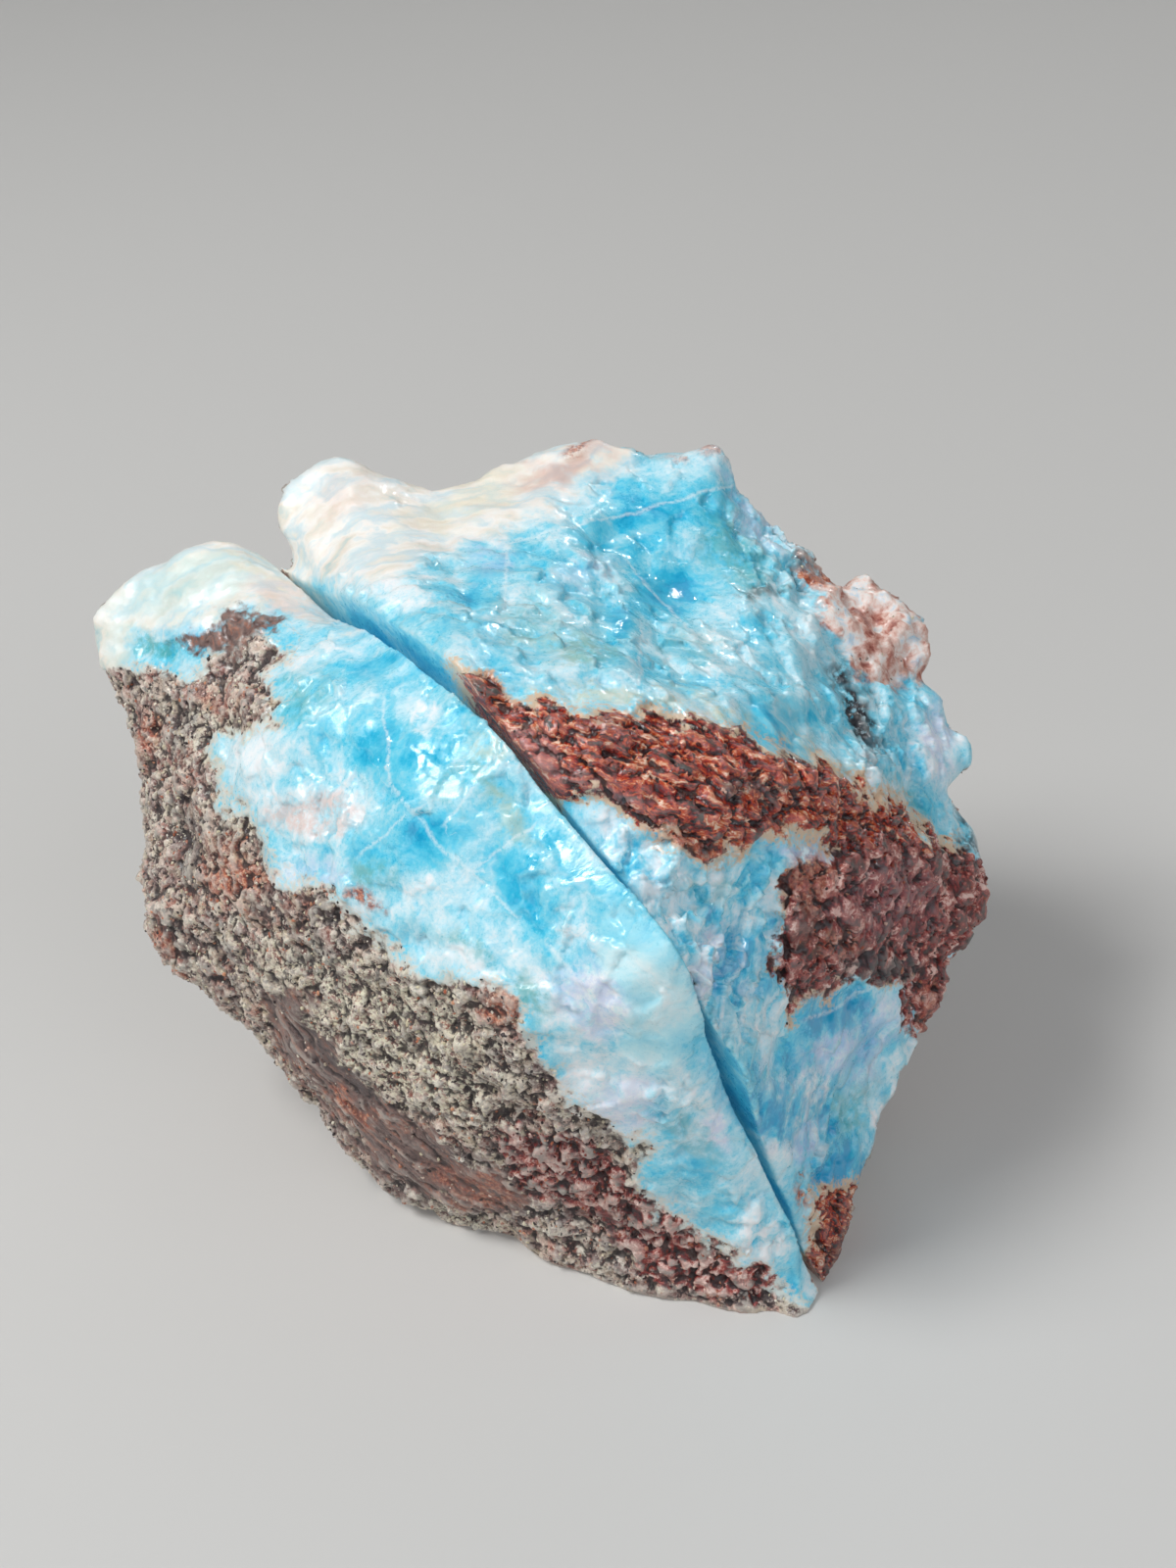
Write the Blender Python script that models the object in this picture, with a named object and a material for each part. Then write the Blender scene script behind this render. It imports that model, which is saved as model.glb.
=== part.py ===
"""Raw larimar: a nodule of blue pectolite in its basalt rind, sawn through by one flat
saw cut. Its two halves stand together as they were cut.

The nodule is laid out as it is seen from one point in front of it and above it. A place
is (across, up, near): across and up are millimetres on a plane square to the line of
sight, and near is how far the stone comes forward of that plane. Each half is a ball
drawn out to the nodule's outline and bent through spot heights, as on a map, then
broken up with lumps and scars, cut by the saw plane and set down on its flat base.
"""

import math

import bmesh
import bpy
import numpy as np
from mathutils import Vector, noise

# Driving sizes, in millimetres unless the name says otherwise
MM = 0.001
REACH = 215.0
PITCH = math.radians(30.0)
EYE_HEIGHT = 147.8
KERF = 0.8
CUT_TRACE = math.radians(35.3)
CUT_TILT = math.radians(15.4)
CUT_POINT = (-22.4, 16.3, -6.0)
CENTRE = (-3.4, -4.2)
EDGE_FULLNESS = 4.0
SPOT_SLACK = 6.0
BALL_SUBDIVISIONS = 7
TRIANGLES_BEFORE_CUT = 7800

# Line of sight: +X is across, and the eye looks along +Y and down
FORWARD = Vector((0.0, math.cos(PITCH), -math.sin(PITCH)))
RIGHT = Vector((1.0, 0.0, 0.0))
UP = Vector((0.0, math.sin(PITCH), math.cos(PITCH)))
EYE = Vector((0.0, 0.0, EYE_HEIGHT))

# The nodule's outline as it is seen, clockwise from its left tip: (across, up)
OUTLINE = (
    (-42.8, 14.4), (-40.5, 16.4), (-37.9, 18.3), (-35.4, 19.8), (-32.7, 21.0),
    (-30.1, 20.5), (-27.6, 19.5), (-24.9, 17.7), (-25.2, 20.3), (-26.8, 23.5),
    (-26.1, 25.8), (-23.3, 27.5), (-21.7, 28.2), (-19.6, 27.5), (-17.1, 26.6),
    (-13.4, 24.7), (-10.3, 26.1), (-5.2, 27.8), (-1.3, 29.4), (0.1, 29.9),
    (3.3, 28.9), (8.5, 29.0), (11.5, 29.5), (12.5, 26.7), (15.0, 23.3),
    (16.9, 21.2), (18.4, 20.9), (20.2, 18.3), (23.4, 17.6), (26.1, 15.7),
    (29.1, 14.0), (28.8, 9.4), (30.9, 6.4), (33.2, 4.5), (32.1, 0.7),
    (31.0, -0.2), (33.2, -3.9), (34.5, -7.6), (33.8, -11.0), (32.5, -13.8),
    (31.1, -14.8), (30.2, -18.4), (28.2, -21.7), (26.9, -24.6), (24.4, -31.3),
    (23.1, -35.2), (22.7, -38.8), (20.8, -42.5), (19.7, -43.3), (19.5, -45.3),
    (17.0, -46.8), (13.6, -45.6), (5.2, -43.7), (-3.5, -40.9), (-6.0, -39.0),
    (-11.3, -37.7), (-15.8, -35.2), (-18.6, -33.5), (-20.9, -31.1), (-23.4, -27.2),
    (-26.5, -23.6), (-29.3, -20.8), (-32.3, -18.0), (-35.5, -15.4), (-37.1, -14.1),
    (-38.1, -12.6), (-37.9, -8.7), (-38.4, -2.2), (-38.3, 1.4), (-39.2, 4.2),
    (-39.5, 7.1), (-41.5, 9.7), (-42.6, 12.4),
)

# How near the outline itself lies: (across, up, near)
RIM_SPOTS = (
    (-42.8, 14.4, -16), (-32.7, 21.0, -15), (-26.8, 23.5, -15), (-21.7, 28.2, -15),
    (-13.4, 24.7, -16), (0.1, 29.9, -19), (11.5, 29.5, -20), (20.2, 18.3, -21),
    (29.1, 14.0, -20), (33.2, 4.5, -19), (34.5, -7.6, -16), (31.1, -14.8, -14),
    (26.9, -24.6, -11), (23.1, -35.2, -8), (20.8, -42.5, -5), (18.6, -46.5, 0),
    (5.2, -43.7, -4), (-3.5, -40.9, -8), (-11.3, -37.7, -12), (-15.8, -35.2, -13),
    (-20.9, -31.1, -14), (-29.3, -20.8, -15), (-38.1, -12.6, -16), (-38.3, 1.4, -17),
)

# How far the hidden side lies behind: (across, up, near)
REAR_SPOTS = (
    (-3.4, -4.2, -34), (-25.0, 4.0, -30), (17.0, 4.0, -36), (0.0, 17.0, -33),
    (8.5, -25.0, -36), (-8.5, -25.0, -35), (22.0, -14.0, -33), (-22.0, -12.0, -30),
    (-16.0, 16.0, -29), (14.0, 20.0, -32), (2.0, -38.0, -28),
)

# Spot heights of the side that faces the eye: (across, up, near)
FRONT_SPOTS = (
    (-22.4, 16.3, -6), (-16.9, 12.7, 5), (-10.2, 7.2, 15), (-3.4, -1.7, 18.5),
    (3.4, -10.2, 22), (8.5, -16.9, 24), (10.3, -22.0, 18), (13.6, -30.5, 10),
    (17.9, -38.3, 6), (19.7, -43.3, 1), (2.0, 3.4, 20), (13.5, -13.5, 22),
    (20.3, -29.6, 8), (-15.2, 20.3, 0), (-12.7, -4.2, 16), (-4.2, -12.7, 19),
    (3.4, -22.0, 18), (7.6, -29.6, 12), (11.8, -37.2, 8), (-19.5, 1.7, 12),
    (-25.4, 8.5, 7), (-22.8, 12.7, 3), (-29.6, 16.9, -4), (-34.7, 17.8, -7),
    (-38.1, 13.5, -9), (-35.0, 10.2, -6), (-30.4, 8.5, 1), (-33.8, 1.7, 0),
    (-31.3, -4.2, 3), (-26.2, -5.1, 8), (-25.4, -12.7, 7), (-18.6, -13.5, 12),
    (-32.1, -12.7, -2), (-22.8, -20.3, 6), (-14.4, -21.2, 12), (-6.8, -23.7, 15),
    (-18.6, -29.6, 0), (-11.8, -32.1, 4), (-5.1, -32.1, 9), (1.7, -33.8, 9),
    (0.0, -38.9, 3), (8.5, -39.8, 5), (15.2, -42.3, 3),
)
BACK_SPOTS = (
    (-26.1, 21.4, -10), (-21.8, 18.2, -3), (-18.0, 15.7, 5), (-14.4, 13.0, 11),
    (-11.2, 10.5, 16.5), (-9.6, 7.8, 15.5), (-8.4, 5.5, 14.5), (-3.4, -1.3, 16.5),
    (3.4, -9.7, 19), (8.9, -17.8, 20), (11.8, -22.8, 18.5), (14.4, -27.1, 17),
    (16.9, -37.2, 4), (19.9, -42.3, 0), (-16.9, 3.4, 14), (-3.4, -12.7, 18),
    (4.2, -29.6, 10), (-22.8, 25.4, -9), (-25.4, 23.7, -11), (-20.3, 22.0, -5),
    (-16.9, 20.3, -1), (-13.5, 22.0, -3), (-10.2, 23.7, -6), (-1.3, 28.3, -13),
    (3.4, 27.5, -13), (10.2, 27.9, -14), (-6.8, 16.9, 4), (0.0, 20.3, -5),
    (6.8, 20.3, -10), (6.8, 16.1, -7), (3.4, 12.7, 4), (-3.4, 12.7, 8.5),
    (13.5, 20.3, -11), (11.8, 13.5, -2), (8.5, 9.3, 7), (-6.8, 8.5, 16),
    (1.7, 6.8, 16), (10.2, 4.7, 13), (16.9, 3.0, 10), (23.7, 0.0, 5),
    (29.6, -4.2, -3), (-3.4, -0.4, 17), (3.4, -3.0, 18), (10.2, -6.3, 17),
    (15.2, -5.1, 14), (22.0, -5.1, 9), (19.5, 12.7, -6), (23.7, 15.2, -13),
    (27.9, 8.5, -12), (22.0, 6.8, -4), (25.4, 2.5, -4), (29.6, 1.7, -12),
    (19.5, -11.8, 10), (23.7, -12.7, 7), (27.9, -11.0, 0), (32.1, -7.6, -8),
    (18.6, -18.6, 9), (25.4, -16.9, 2), (7.6, -11.0, 18), (11.8, -8.5, 15),
    (13.5, -13.5, 14.5), (15.2, -20.3, 13), (18.6, -25.4, 7), (23.7, -22.0, 2),
    (27.9, -20.3, -6), (20.3, -32.1, 2), (16.1, -29.6, 9), (21.2, -38.1, -2),
)

# Patches that stand proud with a broken step at their border: outline, step, softness
RED_BAND = (
    (-10.0, 9.3), (-5.0, 7.3), (0.7, 6.2), (7.0, 6.2), (13.2, 4.3), (20.6, 1.5),
    (27.2, -1.9), (32.7, -7.1), (33.5, -14.0), (22.0, -4.9), (15.2, -4.7),
    (10.7, -6.1), (5.2, -3.6), (2.0, -0.8), (-1.5, -1.1), (-6.2, 2.5), (-10.0, 7.5),
)
BROWN_LUMP = (
    (18.4, -7.8), (22.8, -5.6), (28.0, -4.0), (34.0, -7.0), (34.5, -14.5),
    (27.5, -16.9), (21.7, -16.9), (18.4, -20.3), (17.2, -15.7), (17.0, -10.0),
)
RIM_FLAKES = (
    (9.3, -9.3), (12.7, -6.8), (16.1, -8.5), (16.5, -14.4), (14.4, -19.5), (10.2, -17.8),
)
FRONT_CHIP = ((9.0, -20.5), (12.0, -21.0), (15.5, -24.5), (16.0, -31.0), (11.0, -26.5))
LEFT_HOLLOW = ((-38.9, 12.9), (-35.5, 12.5), (-33.0, 11.2), (-34.5, 9.6), (-38.0, 9.9))
FRONT_STEPS = ((FRONT_CHIP, -1.6, 0.8), (LEFT_HOLLOW, -1.8, 0.9))
BACK_STEPS = ((RED_BAND, 1.3, 0.7), (BROWN_LUMP, 2.6, 0.8), (RIM_FLAKES, 0.9, 0.6))

# Long hollows: start, end, half width, depth
FRONT_GROOVES = (
    ((-24.5, -14.5), (-4.5, -29.5), 1.4, 1.2),
    ((-33.0, 7.6), (-27.9, 11.0), 1.6, 1.3),
    ((-25.4, 18.0), (-36.0, 14.5), 1.0, 0.8),
)
BACK_GROOVES = (
    ((7.6, -11.4), (11.8, -7.0), 1.0, 1.6),
    ((10.6, -17.5), (10.2, -24.0), 1.2, 1.3),
    ((12.5, -11.5), (13.6, -18.8), 0.7, 1.2),
    ((21.5, 10.5), (24.0, 3.8), 1.3, 2.4),
    ((19.5, -18.5), (29.5, -16.6), 1.1, 1.6),
    ((16.5, 19.0), (21.5, 12.0), 1.2, 1.3),
)

# Where the blue stone is bare, and where the surface is knobbly: (across, up)
FRONT_BLUE = (
    (-38.8, 11.2), (-30.6, 12.3), (-27.2, 14.0), (-28.8, 9.1), (-27.2, 5.2),
    (-32.7, 4.1), (-33.2, 1.3), (-28.4, -2.8), (-26.3, -8.5), (-19.7, -13.1),
    (-13.3, -17.1), (-6.9, -19.7), (-3.6, -23.4), (-3.1, -27.7), (3.0, -31.1),
    (4.1, -35.5), (8.7, -38.5), (14.0, -41.7), (24.0, -46.0), (30.0, -20.0),
    (0.0, 34.0), (-30.0, 32.0), (-48.0, 18.0),
)
BACK_KNOBS = ((17.0, 23.0), (19.0, 9.5), (24.0, 4.0), (27.5, -1.0), (38.0, -3.0), (34.0, 20.0))

# Sizes of the broken surface: cell across, height
SCARS = (8.5, 1.6)
SMALL_SCARS = (3.6, 0.4)
RIND_LUMPS = (7.5, 1.5)
SMALL_LUMPS = (3.2, 0.6)
KNOBS = (5.2, 1.7)
MASK_SOFTNESS = 1.5
RIND_STARTS = 0.15
SOFTENING_ROUNDS = 3

BLUE_COLOUR = (0.12, 0.52, 0.66, 1.0)


def remove_everything():
    for old in list(bpy.data.objects):
        bpy.data.objects.remove(old)


def new_collection(name):
    collection = bpy.data.collections.new(name)
    bpy.context.scene.collection.children.link(collection)
    return collection


def place(across, up, near):
    """The world point, in millimetres, of a place in the layout."""
    sight = FORWARD + RIGHT * (across / REACH) + UP * (up / REACH)
    return EYE + sight * (REACH - near)


def surface_through(spots):
    """A thin sheet bent through spot heights, as a function of (across, up) rows."""
    spots = np.array(spots, float)
    flat, near = spots[:, :2], spots[:, 2]
    count = len(flat)

    def bend(points):
        square = ((points[:, None] - flat[None]) ** 2).sum(axis=2)
        return 0.5 * square * np.log(square + 1e-9)

    plain = np.column_stack([np.ones(count), flat])
    system = np.zeros((count + 3, count + 3))
    system[:count, :count] = bend(flat) + SPOT_SLACK * np.eye(count)
    system[:count, count:] = plain
    system[count:, :count] = plain.T
    weights = np.linalg.solve(system, np.append(near, np.zeros(3)))

    def height(points):
        sloped = np.column_stack([np.ones(len(points)), points])
        return bend(points) @ weights[:count] + sloped @ weights[count:]

    return height


def segment_distance(points, start, end):
    """Distance of each point to a line piece, and how far along it, from 0 to 1."""
    start, end = np.array(start), np.array(end)
    run = end - start
    along = np.clip((points - start) @ run / (run @ run), 0.0, 1.0)
    return np.linalg.norm(points - start - along[:, None] * run, axis=1), along


def depth_inside(points, outline):
    """Distance of each point to the outline, positive inside it."""
    nearest = np.full(len(points), np.inf)
    inside = np.zeros(len(points), bool)
    for start, end in zip(outline, outline[1:] + outline[:1]):
        nearest = np.minimum(nearest, segment_distance(points, start, end)[0])
        crosses = (start[1] > points[:, 1]) != (end[1] > points[:, 1])
        rise = end[1] - start[1] or 1e-9
        crossing = start[0] + (points[:, 1] - start[1]) * (end[0] - start[0]) / rise
        inside ^= crosses & (points[:, 0] < crossing)
    return np.where(inside, nearest, -nearest)


def smooth_step(value, softness):
    part = np.clip(value / softness * 0.5 + 0.5, 0.0, 1.0)
    return part * part * (3.0 - 2.0 * part)


def outline_reach(angles):
    """How far the outline is from its centre in each direction."""
    corners = np.array(OUTLINE) - CENTRE
    directions = np.arctan2(corners[:, 1], corners[:, 0])
    order = np.argsort(directions)
    reach = np.hypot(corners[:, 0], corners[:, 1])
    return np.interp(angles, directions[order], reach[order], period=2.0 * math.pi)


def ball():
    """A unit ball as (mesh, its points), with +Z of the ball towards the eye."""
    mesh = bmesh.new()
    bmesh.ops.create_icosphere(mesh, subdivisions=BALL_SUBDIVISIONS, radius=1.0)
    mesh.verts.ensure_lookup_table()
    return mesh, np.array([vert.co for vert in mesh.verts])


def draw_out(mesh, points, spots, steps, grooves):
    """Draws the ball out to the nodule, and returns each point's (across, up)."""
    from_axis = np.hypot(points[:, 0], points[:, 1])
    angles = np.arctan2(points[:, 1], points[:, 0])
    reach = outline_reach(angles) * from_axis
    flat = np.column_stack([reach * np.cos(angles), reach * np.sin(angles)]) + CENTRE
    fall = np.sqrt(np.clip(1.0 - from_axis**EDGE_FULLNESS, 0.0, 1.0))
    rim = surface_through(RIM_SPOTS)(flat)
    facing = surface_through(spots)(flat)
    for outline, step, softness in steps:
        facing += step * smooth_step(depth_inside(flat, outline), softness)
    for start, end, half_width, depth in grooves:
        distance, _ = segment_distance(flat, start, end)
        facing -= depth * np.exp(-((distance / half_width) ** 2))
    rear = surface_through(REAR_SPOTS)(flat)
    side = np.where(points[:, 2] >= 0.0, facing, rear)
    near = rim + (side - rim) * fall
    for vert, (across, up), height in zip(mesh.verts, flat, near):
        vert.co = place(across, up, height)
    for _ in range(SOFTENING_ROUNDS):
        bmesh.ops.smooth_vert(
            mesh, verts=mesh.verts, factor=0.5, use_axis_x=True, use_axis_y=True, use_axis_z=True
        )
    mesh.normal_update()
    return flat


def cell_square(point, size, shift):
    """Square of the distance to the nearest of many scattered points, in cells."""
    return noise.voronoi(point / size + shift)[0][0] ** 2


def break_surface(mesh, bare, knobbly):
    """Moves each point along its normal: scars in bare stone, lumps in the rind."""
    shift = Vector((3.1, 7.7, 1.9))
    moved = []
    for vert, bareness, knobs in zip(mesh.verts, bare, knobbly):
        point = vert.co
        scars = SCARS[1] * (cell_square(point, SCARS[0], shift) - 0.3)
        scars += SMALL_SCARS[1] * (cell_square(point, SMALL_SCARS[0], -shift) - 0.3)
        lumps = RIND_LUMPS[1] * (0.3 - cell_square(point, RIND_LUMPS[0], shift))
        lumps += SMALL_LUMPS[1] * (0.3 - cell_square(point, SMALL_LUMPS[0], -shift))
        lumps += KNOBS[1] * knobs * (0.25 - cell_square(point, KNOBS[0], shift * 2.0))
        moved.append(point + vert.normal * (bareness * scars + (1.0 - bareness) * lumps))
    for vert, point in zip(mesh.verts, moved):
        vert.co = point


def saw_normal():
    """The saw plane's normal, from the front half towards the back half."""
    trace = RIGHT * math.cos(CUT_TRACE) + UP * math.sin(CUT_TRACE)
    return trace * math.cos(CUT_TILT) + FORWARD * math.sin(CUT_TILT)


def thinned(mesh, name):
    """The same surface with fewer faces, fewest where it is plain."""
    data = bpy.data.meshes.new(name + "_full")
    mesh.to_mesh(data)
    mesh.free()
    helper = bpy.data.objects.new(name + "_full", data)
    bpy.context.scene.collection.objects.link(helper)
    thinning = helper.modifiers.new("thinning", "DECIMATE")
    thinning.ratio = TRIANGLES_BEFORE_CUT / len(data.polygons)
    graph = bpy.context.evaluated_depsgraph_get()
    thin = bmesh.new()
    thin.from_mesh(helper.evaluated_get(graph).to_mesh())
    bpy.data.objects.remove(helper)
    return thin


def cut_flat(mesh, point, outward):
    """Cuts off what lies beyond the plane and closes the cut with one flat face."""
    everything = mesh.verts[:] + mesh.edges[:] + mesh.faces[:]
    bmesh.ops.bisect_plane(
        mesh, geom=everything, dist=1e-6, plane_co=point, plane_no=outward, clear_outer=True
    )
    open_edges = [edge for edge in mesh.edges if edge.is_boundary]
    bmesh.ops.holes_fill(mesh, edges=open_edges)


def make_half(name, spots, steps, grooves, saw_side):
    """One half of the nodule; saw_side is 1 in front of the saw plane, -1 behind it."""
    mesh, points = ball()
    flat = draw_out(mesh, points, spots, steps, grooves)
    if saw_side > 0:
        bare = smooth_step(depth_inside(flat, FRONT_BLUE), MASK_SOFTNESS)
        knobbly = np.zeros(len(flat))
    else:
        rough = np.maximum(depth_inside(flat, RED_BAND), depth_inside(flat, BROWN_LUMP))
        knobbly = smooth_step(depth_inside(flat, BACK_KNOBS), MASK_SOFTNESS)
        bare = (1.0 - smooth_step(rough, MASK_SOFTNESS)) * (1.0 - knobbly)
    facing = smooth_step(points[:, 2] - RIND_STARTS, RIND_STARTS)
    break_surface(mesh, bare * facing, knobbly)
    mesh = thinned(mesh, name)
    outward = saw_normal() * saw_side
    cut_flat(mesh, place(*CUT_POINT) - outward * (KERF / 2.0), outward)
    cut_flat(mesh, Vector((0.0, 0.0, 0.0)), Vector((0.0, 0.0, -1.0)))
    bmesh.ops.triangulate(mesh, faces=[face for face in mesh.faces if len(face.verts) > 3])
    bmesh.ops.recalc_face_normals(mesh, faces=mesh.faces[:])
    return mesh


def stone_material(name):
    """Wet-looking broken pectolite."""
    material = bpy.data.materials.new(name)
    material.use_nodes = True
    shader = material.node_tree.nodes["Principled BSDF"]
    shader.inputs["Base Color"].default_value = BLUE_COLOUR
    shader.inputs["Roughness"].default_value = 0.35
    shader.inputs["Metallic"].default_value = 0.0
    return material


def stand_together(halves, collection):
    """Turns the halves into objects, with the origin under the middle of the pair."""
    points = np.array([vert.co for mesh in halves.values() for vert in mesh.verts])
    middle = (points.min(axis=0) + points.max(axis=0)) / 2.0
    foot = Vector((middle[0], middle[1], 0.0))
    print("eye from the origin, mm:", tuple(round(value, 2) for value in EYE - foot))
    for name, mesh in halves.items():
        for vert in mesh.verts:
            vert.co = (vert.co - foot) * MM
        data = bpy.data.meshes.new(name)
        mesh.to_mesh(data)
        mesh.free()
        data.materials.append(stone_material(name + "_stone"))
        collection.objects.link(bpy.data.objects.new(name, data))


def main():
    remove_everything()
    larimar = new_collection("raw_larimar")
    halves = {
        "front_half": make_half("front_half", FRONT_SPOTS, FRONT_STEPS, FRONT_GROOVES, 1),
        "back_half": make_half("back_half", BACK_SPOTS, BACK_STEPS, BACK_GROOVES, -1),
    }
    stand_together(halves, larimar)


main()
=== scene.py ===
"""Looks of the raw larimar: a nodule of blue pectolite in its basalt rind, sawn in two.

Each half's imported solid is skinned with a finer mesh. Marks are painted on its points
in the view that the nodule was laid out from, where one unit is a pixel of the
1200 x 1600 view and MM_PER_PIXEL says how large that is on the stone. Geometry Nodes
then break the skin up by those marks and strew mineral grains over the rind, and the
stone's material reads the same marks.
"""

import math

import bmesh
import bpy
import numpy as np
from mathutils import Matrix, Vector, kdtree


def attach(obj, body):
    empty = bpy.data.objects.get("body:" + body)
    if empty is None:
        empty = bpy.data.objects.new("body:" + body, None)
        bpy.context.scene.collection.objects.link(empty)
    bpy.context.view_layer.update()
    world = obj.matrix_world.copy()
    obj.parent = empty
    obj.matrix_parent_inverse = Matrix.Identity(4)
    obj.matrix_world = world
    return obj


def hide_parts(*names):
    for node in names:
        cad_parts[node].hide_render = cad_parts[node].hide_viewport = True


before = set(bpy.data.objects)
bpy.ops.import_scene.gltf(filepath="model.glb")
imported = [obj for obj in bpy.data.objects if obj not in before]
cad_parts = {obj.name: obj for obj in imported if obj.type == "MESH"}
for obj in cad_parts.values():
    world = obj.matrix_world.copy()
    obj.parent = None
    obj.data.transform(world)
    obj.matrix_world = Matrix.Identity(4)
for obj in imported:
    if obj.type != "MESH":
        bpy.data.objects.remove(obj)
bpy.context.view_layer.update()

MM = 0.001

# The view that the nodule is laid out from
VIEW_SIZE = (1200.0, 1600.0)
LONG_SENSOR = 36.0
REACH = 215.0 * MM
PITCH = math.radians(30.0)
EYE = Vector((4.45, -191.61, 147.8)) * MM
MM_PER_PIXEL = 0.0846
FORWARD = Vector((0.0, math.cos(PITCH), -math.sin(PITCH)))
RIGHT = Vector((1.0, 0.0, 0.0))
UP = Vector((0.0, math.sin(PITCH), math.cos(PITCH)))

# The saw cut, as in the solids
CUT_TRACE = math.radians(35.3)
CUT_TILT = math.radians(15.4)

# Skin
SKIN_GRAIN = 0.27 * MM
MOST_TRIANGLES = 192000
FACET_ROUNDS = 8
HOLLOW_ROUNDS = 22
CRUST_IN_SECTION = 2.2
SCARS = {"front_half": 0.6, "back_half": 0.75}

# Grains strewn over the rind, each a small angular stone of 20 faces
GRAINS = 8000
GRAIN_RADIUS = (0.10, 0.30)
GRAIN_SUNK = 0.45


def grain_axes(lift):
    """Turn that brings a direction in the view, raised by this angle, onto X."""
    lift = math.radians(lift)
    along = RIGHT * math.cos(lift) + UP * math.sin(lift)
    across = UP * math.cos(lift) - RIGHT * math.sin(lift)
    return tuple(Matrix((along, across, along.cross(across))).to_euler("XYZ"))


FIBRE_TURN = grain_axes(43.0)
CAP_TURN = grain_axes(20.0)
BAND_TURN = grain_axes(-18.0)
STREAK_TURN = grain_axes(-42.0)
TORN_TURN = grain_axes(78.0)

# Kinds of surface, as outlines in pixels of the view
FRONT_BLUE = (
    (120, 676), (150, 692), (205, 690), (222, 668), (292, 655), (268, 693), (279, 739),
    (225, 745), (206, 772),
    (216, 812), (250, 835), (268, 872), (285, 905), (330, 905), (360, 945), (403, 977),
    (443, 1002), (499, 1005), (522, 1033), (541, 1058), (557, 1077), (575, 1127),
    (610, 1140), (646, 1168), (655, 1197), (648, 1215), (669, 1233), (703, 1256),
    (738, 1277), (775, 1300), (807, 1325), (870, 1340), (950, 1000), (600, 350),
    (60, 480), (60, 690),
)
FRONT_LUMP = (
    (20, 640), (60, 560), (180, 490), (270, 500), (330, 560), (385, 640), (330, 636),
    (290, 622), (238, 628), (190, 636), (141, 652), (118, 690), (60, 700),
)
BROWN_PATCH = ((186, 652), (208, 634), (246, 626), (280, 634), (272, 654), (246, 668), (206, 668))
BROWN_STREAK = (
    (262, 1000), (300, 1015), (345, 1070), (390, 1118), (432, 1150), (470, 1182),
    (535, 1205), (545, 1228), (500, 1245), (440, 1228), (380, 1195), (325, 1120), (285, 1065),
)
FRONT_RED_ZONE = (
    (505, 1155), (530, 1146), (575, 1160), (640, 1195), (652, 1222), (690, 1248),
    (745, 1285), (790, 1305), (770, 1335), (700, 1318), (640, 1290), (625, 1255),
    (590, 1235), (540, 1215), (510, 1185),
)
PALE_FACETS = (
    (607, 930), (640, 915), (672, 960), (700, 1010), (712, 1055), (700, 1090), (660, 1085),
    (640, 1060), (625, 1010),
)
CREAM_CAP = (
    (300, 600), (230, 540), (240, 440), (340, 400), (540, 390), (640, 380), (650, 462),
    (620, 490), (575, 515), (520, 545), (460, 560), (430, 572), (405, 592), (365, 590),
)
RED_BAND = (
    (460, 680), (482, 690), (511, 703), (541, 714), (608, 727), (683, 727), (716, 741), (755, 749),
    (793, 767), (844, 782), (870, 800), (895, 813), (921, 823), (946, 853), (972, 861),
    (1000, 884), (995, 960), (959, 999), (933, 996), (908, 1001), (882, 994), (857, 999),
    (839, 1014), (818, 1024), (811, 1040), (808, 1009), (803, 986), (808, 968), (803, 945),
    (798, 925), (803, 905), (818, 892), (864, 884), (870, 866), (857, 859), (806, 848),
    (780, 856), (750, 864), (726, 872), (691, 852), (661, 842), (637, 829), (624, 810),
    (590, 815), (570, 822), (540, 812), (505, 775), (465, 722),
)
BROWN_LUMP = (
    (800, 896), (850, 868), (905, 850), (950, 862), (1040, 868), (1040, 970), (965, 1006),
    (908, 1003), (857, 1003), (818, 1028), (808, 1042), (795, 986), (790, 925),
)
RED_TIP = ((838, 1215), (915, 1195), (915, 1270), (880, 1345), (812, 1335), (832, 1255))
KNOBS = ((812, 552), (850, 515), (995, 590), (985, 690), (915, 700), (880, 690), (850, 655), (830, 610))
RIGHT_RIM = ((930, 985), (1010, 960), (1010, 1060), (950, 1100), (920, 1050))

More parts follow.
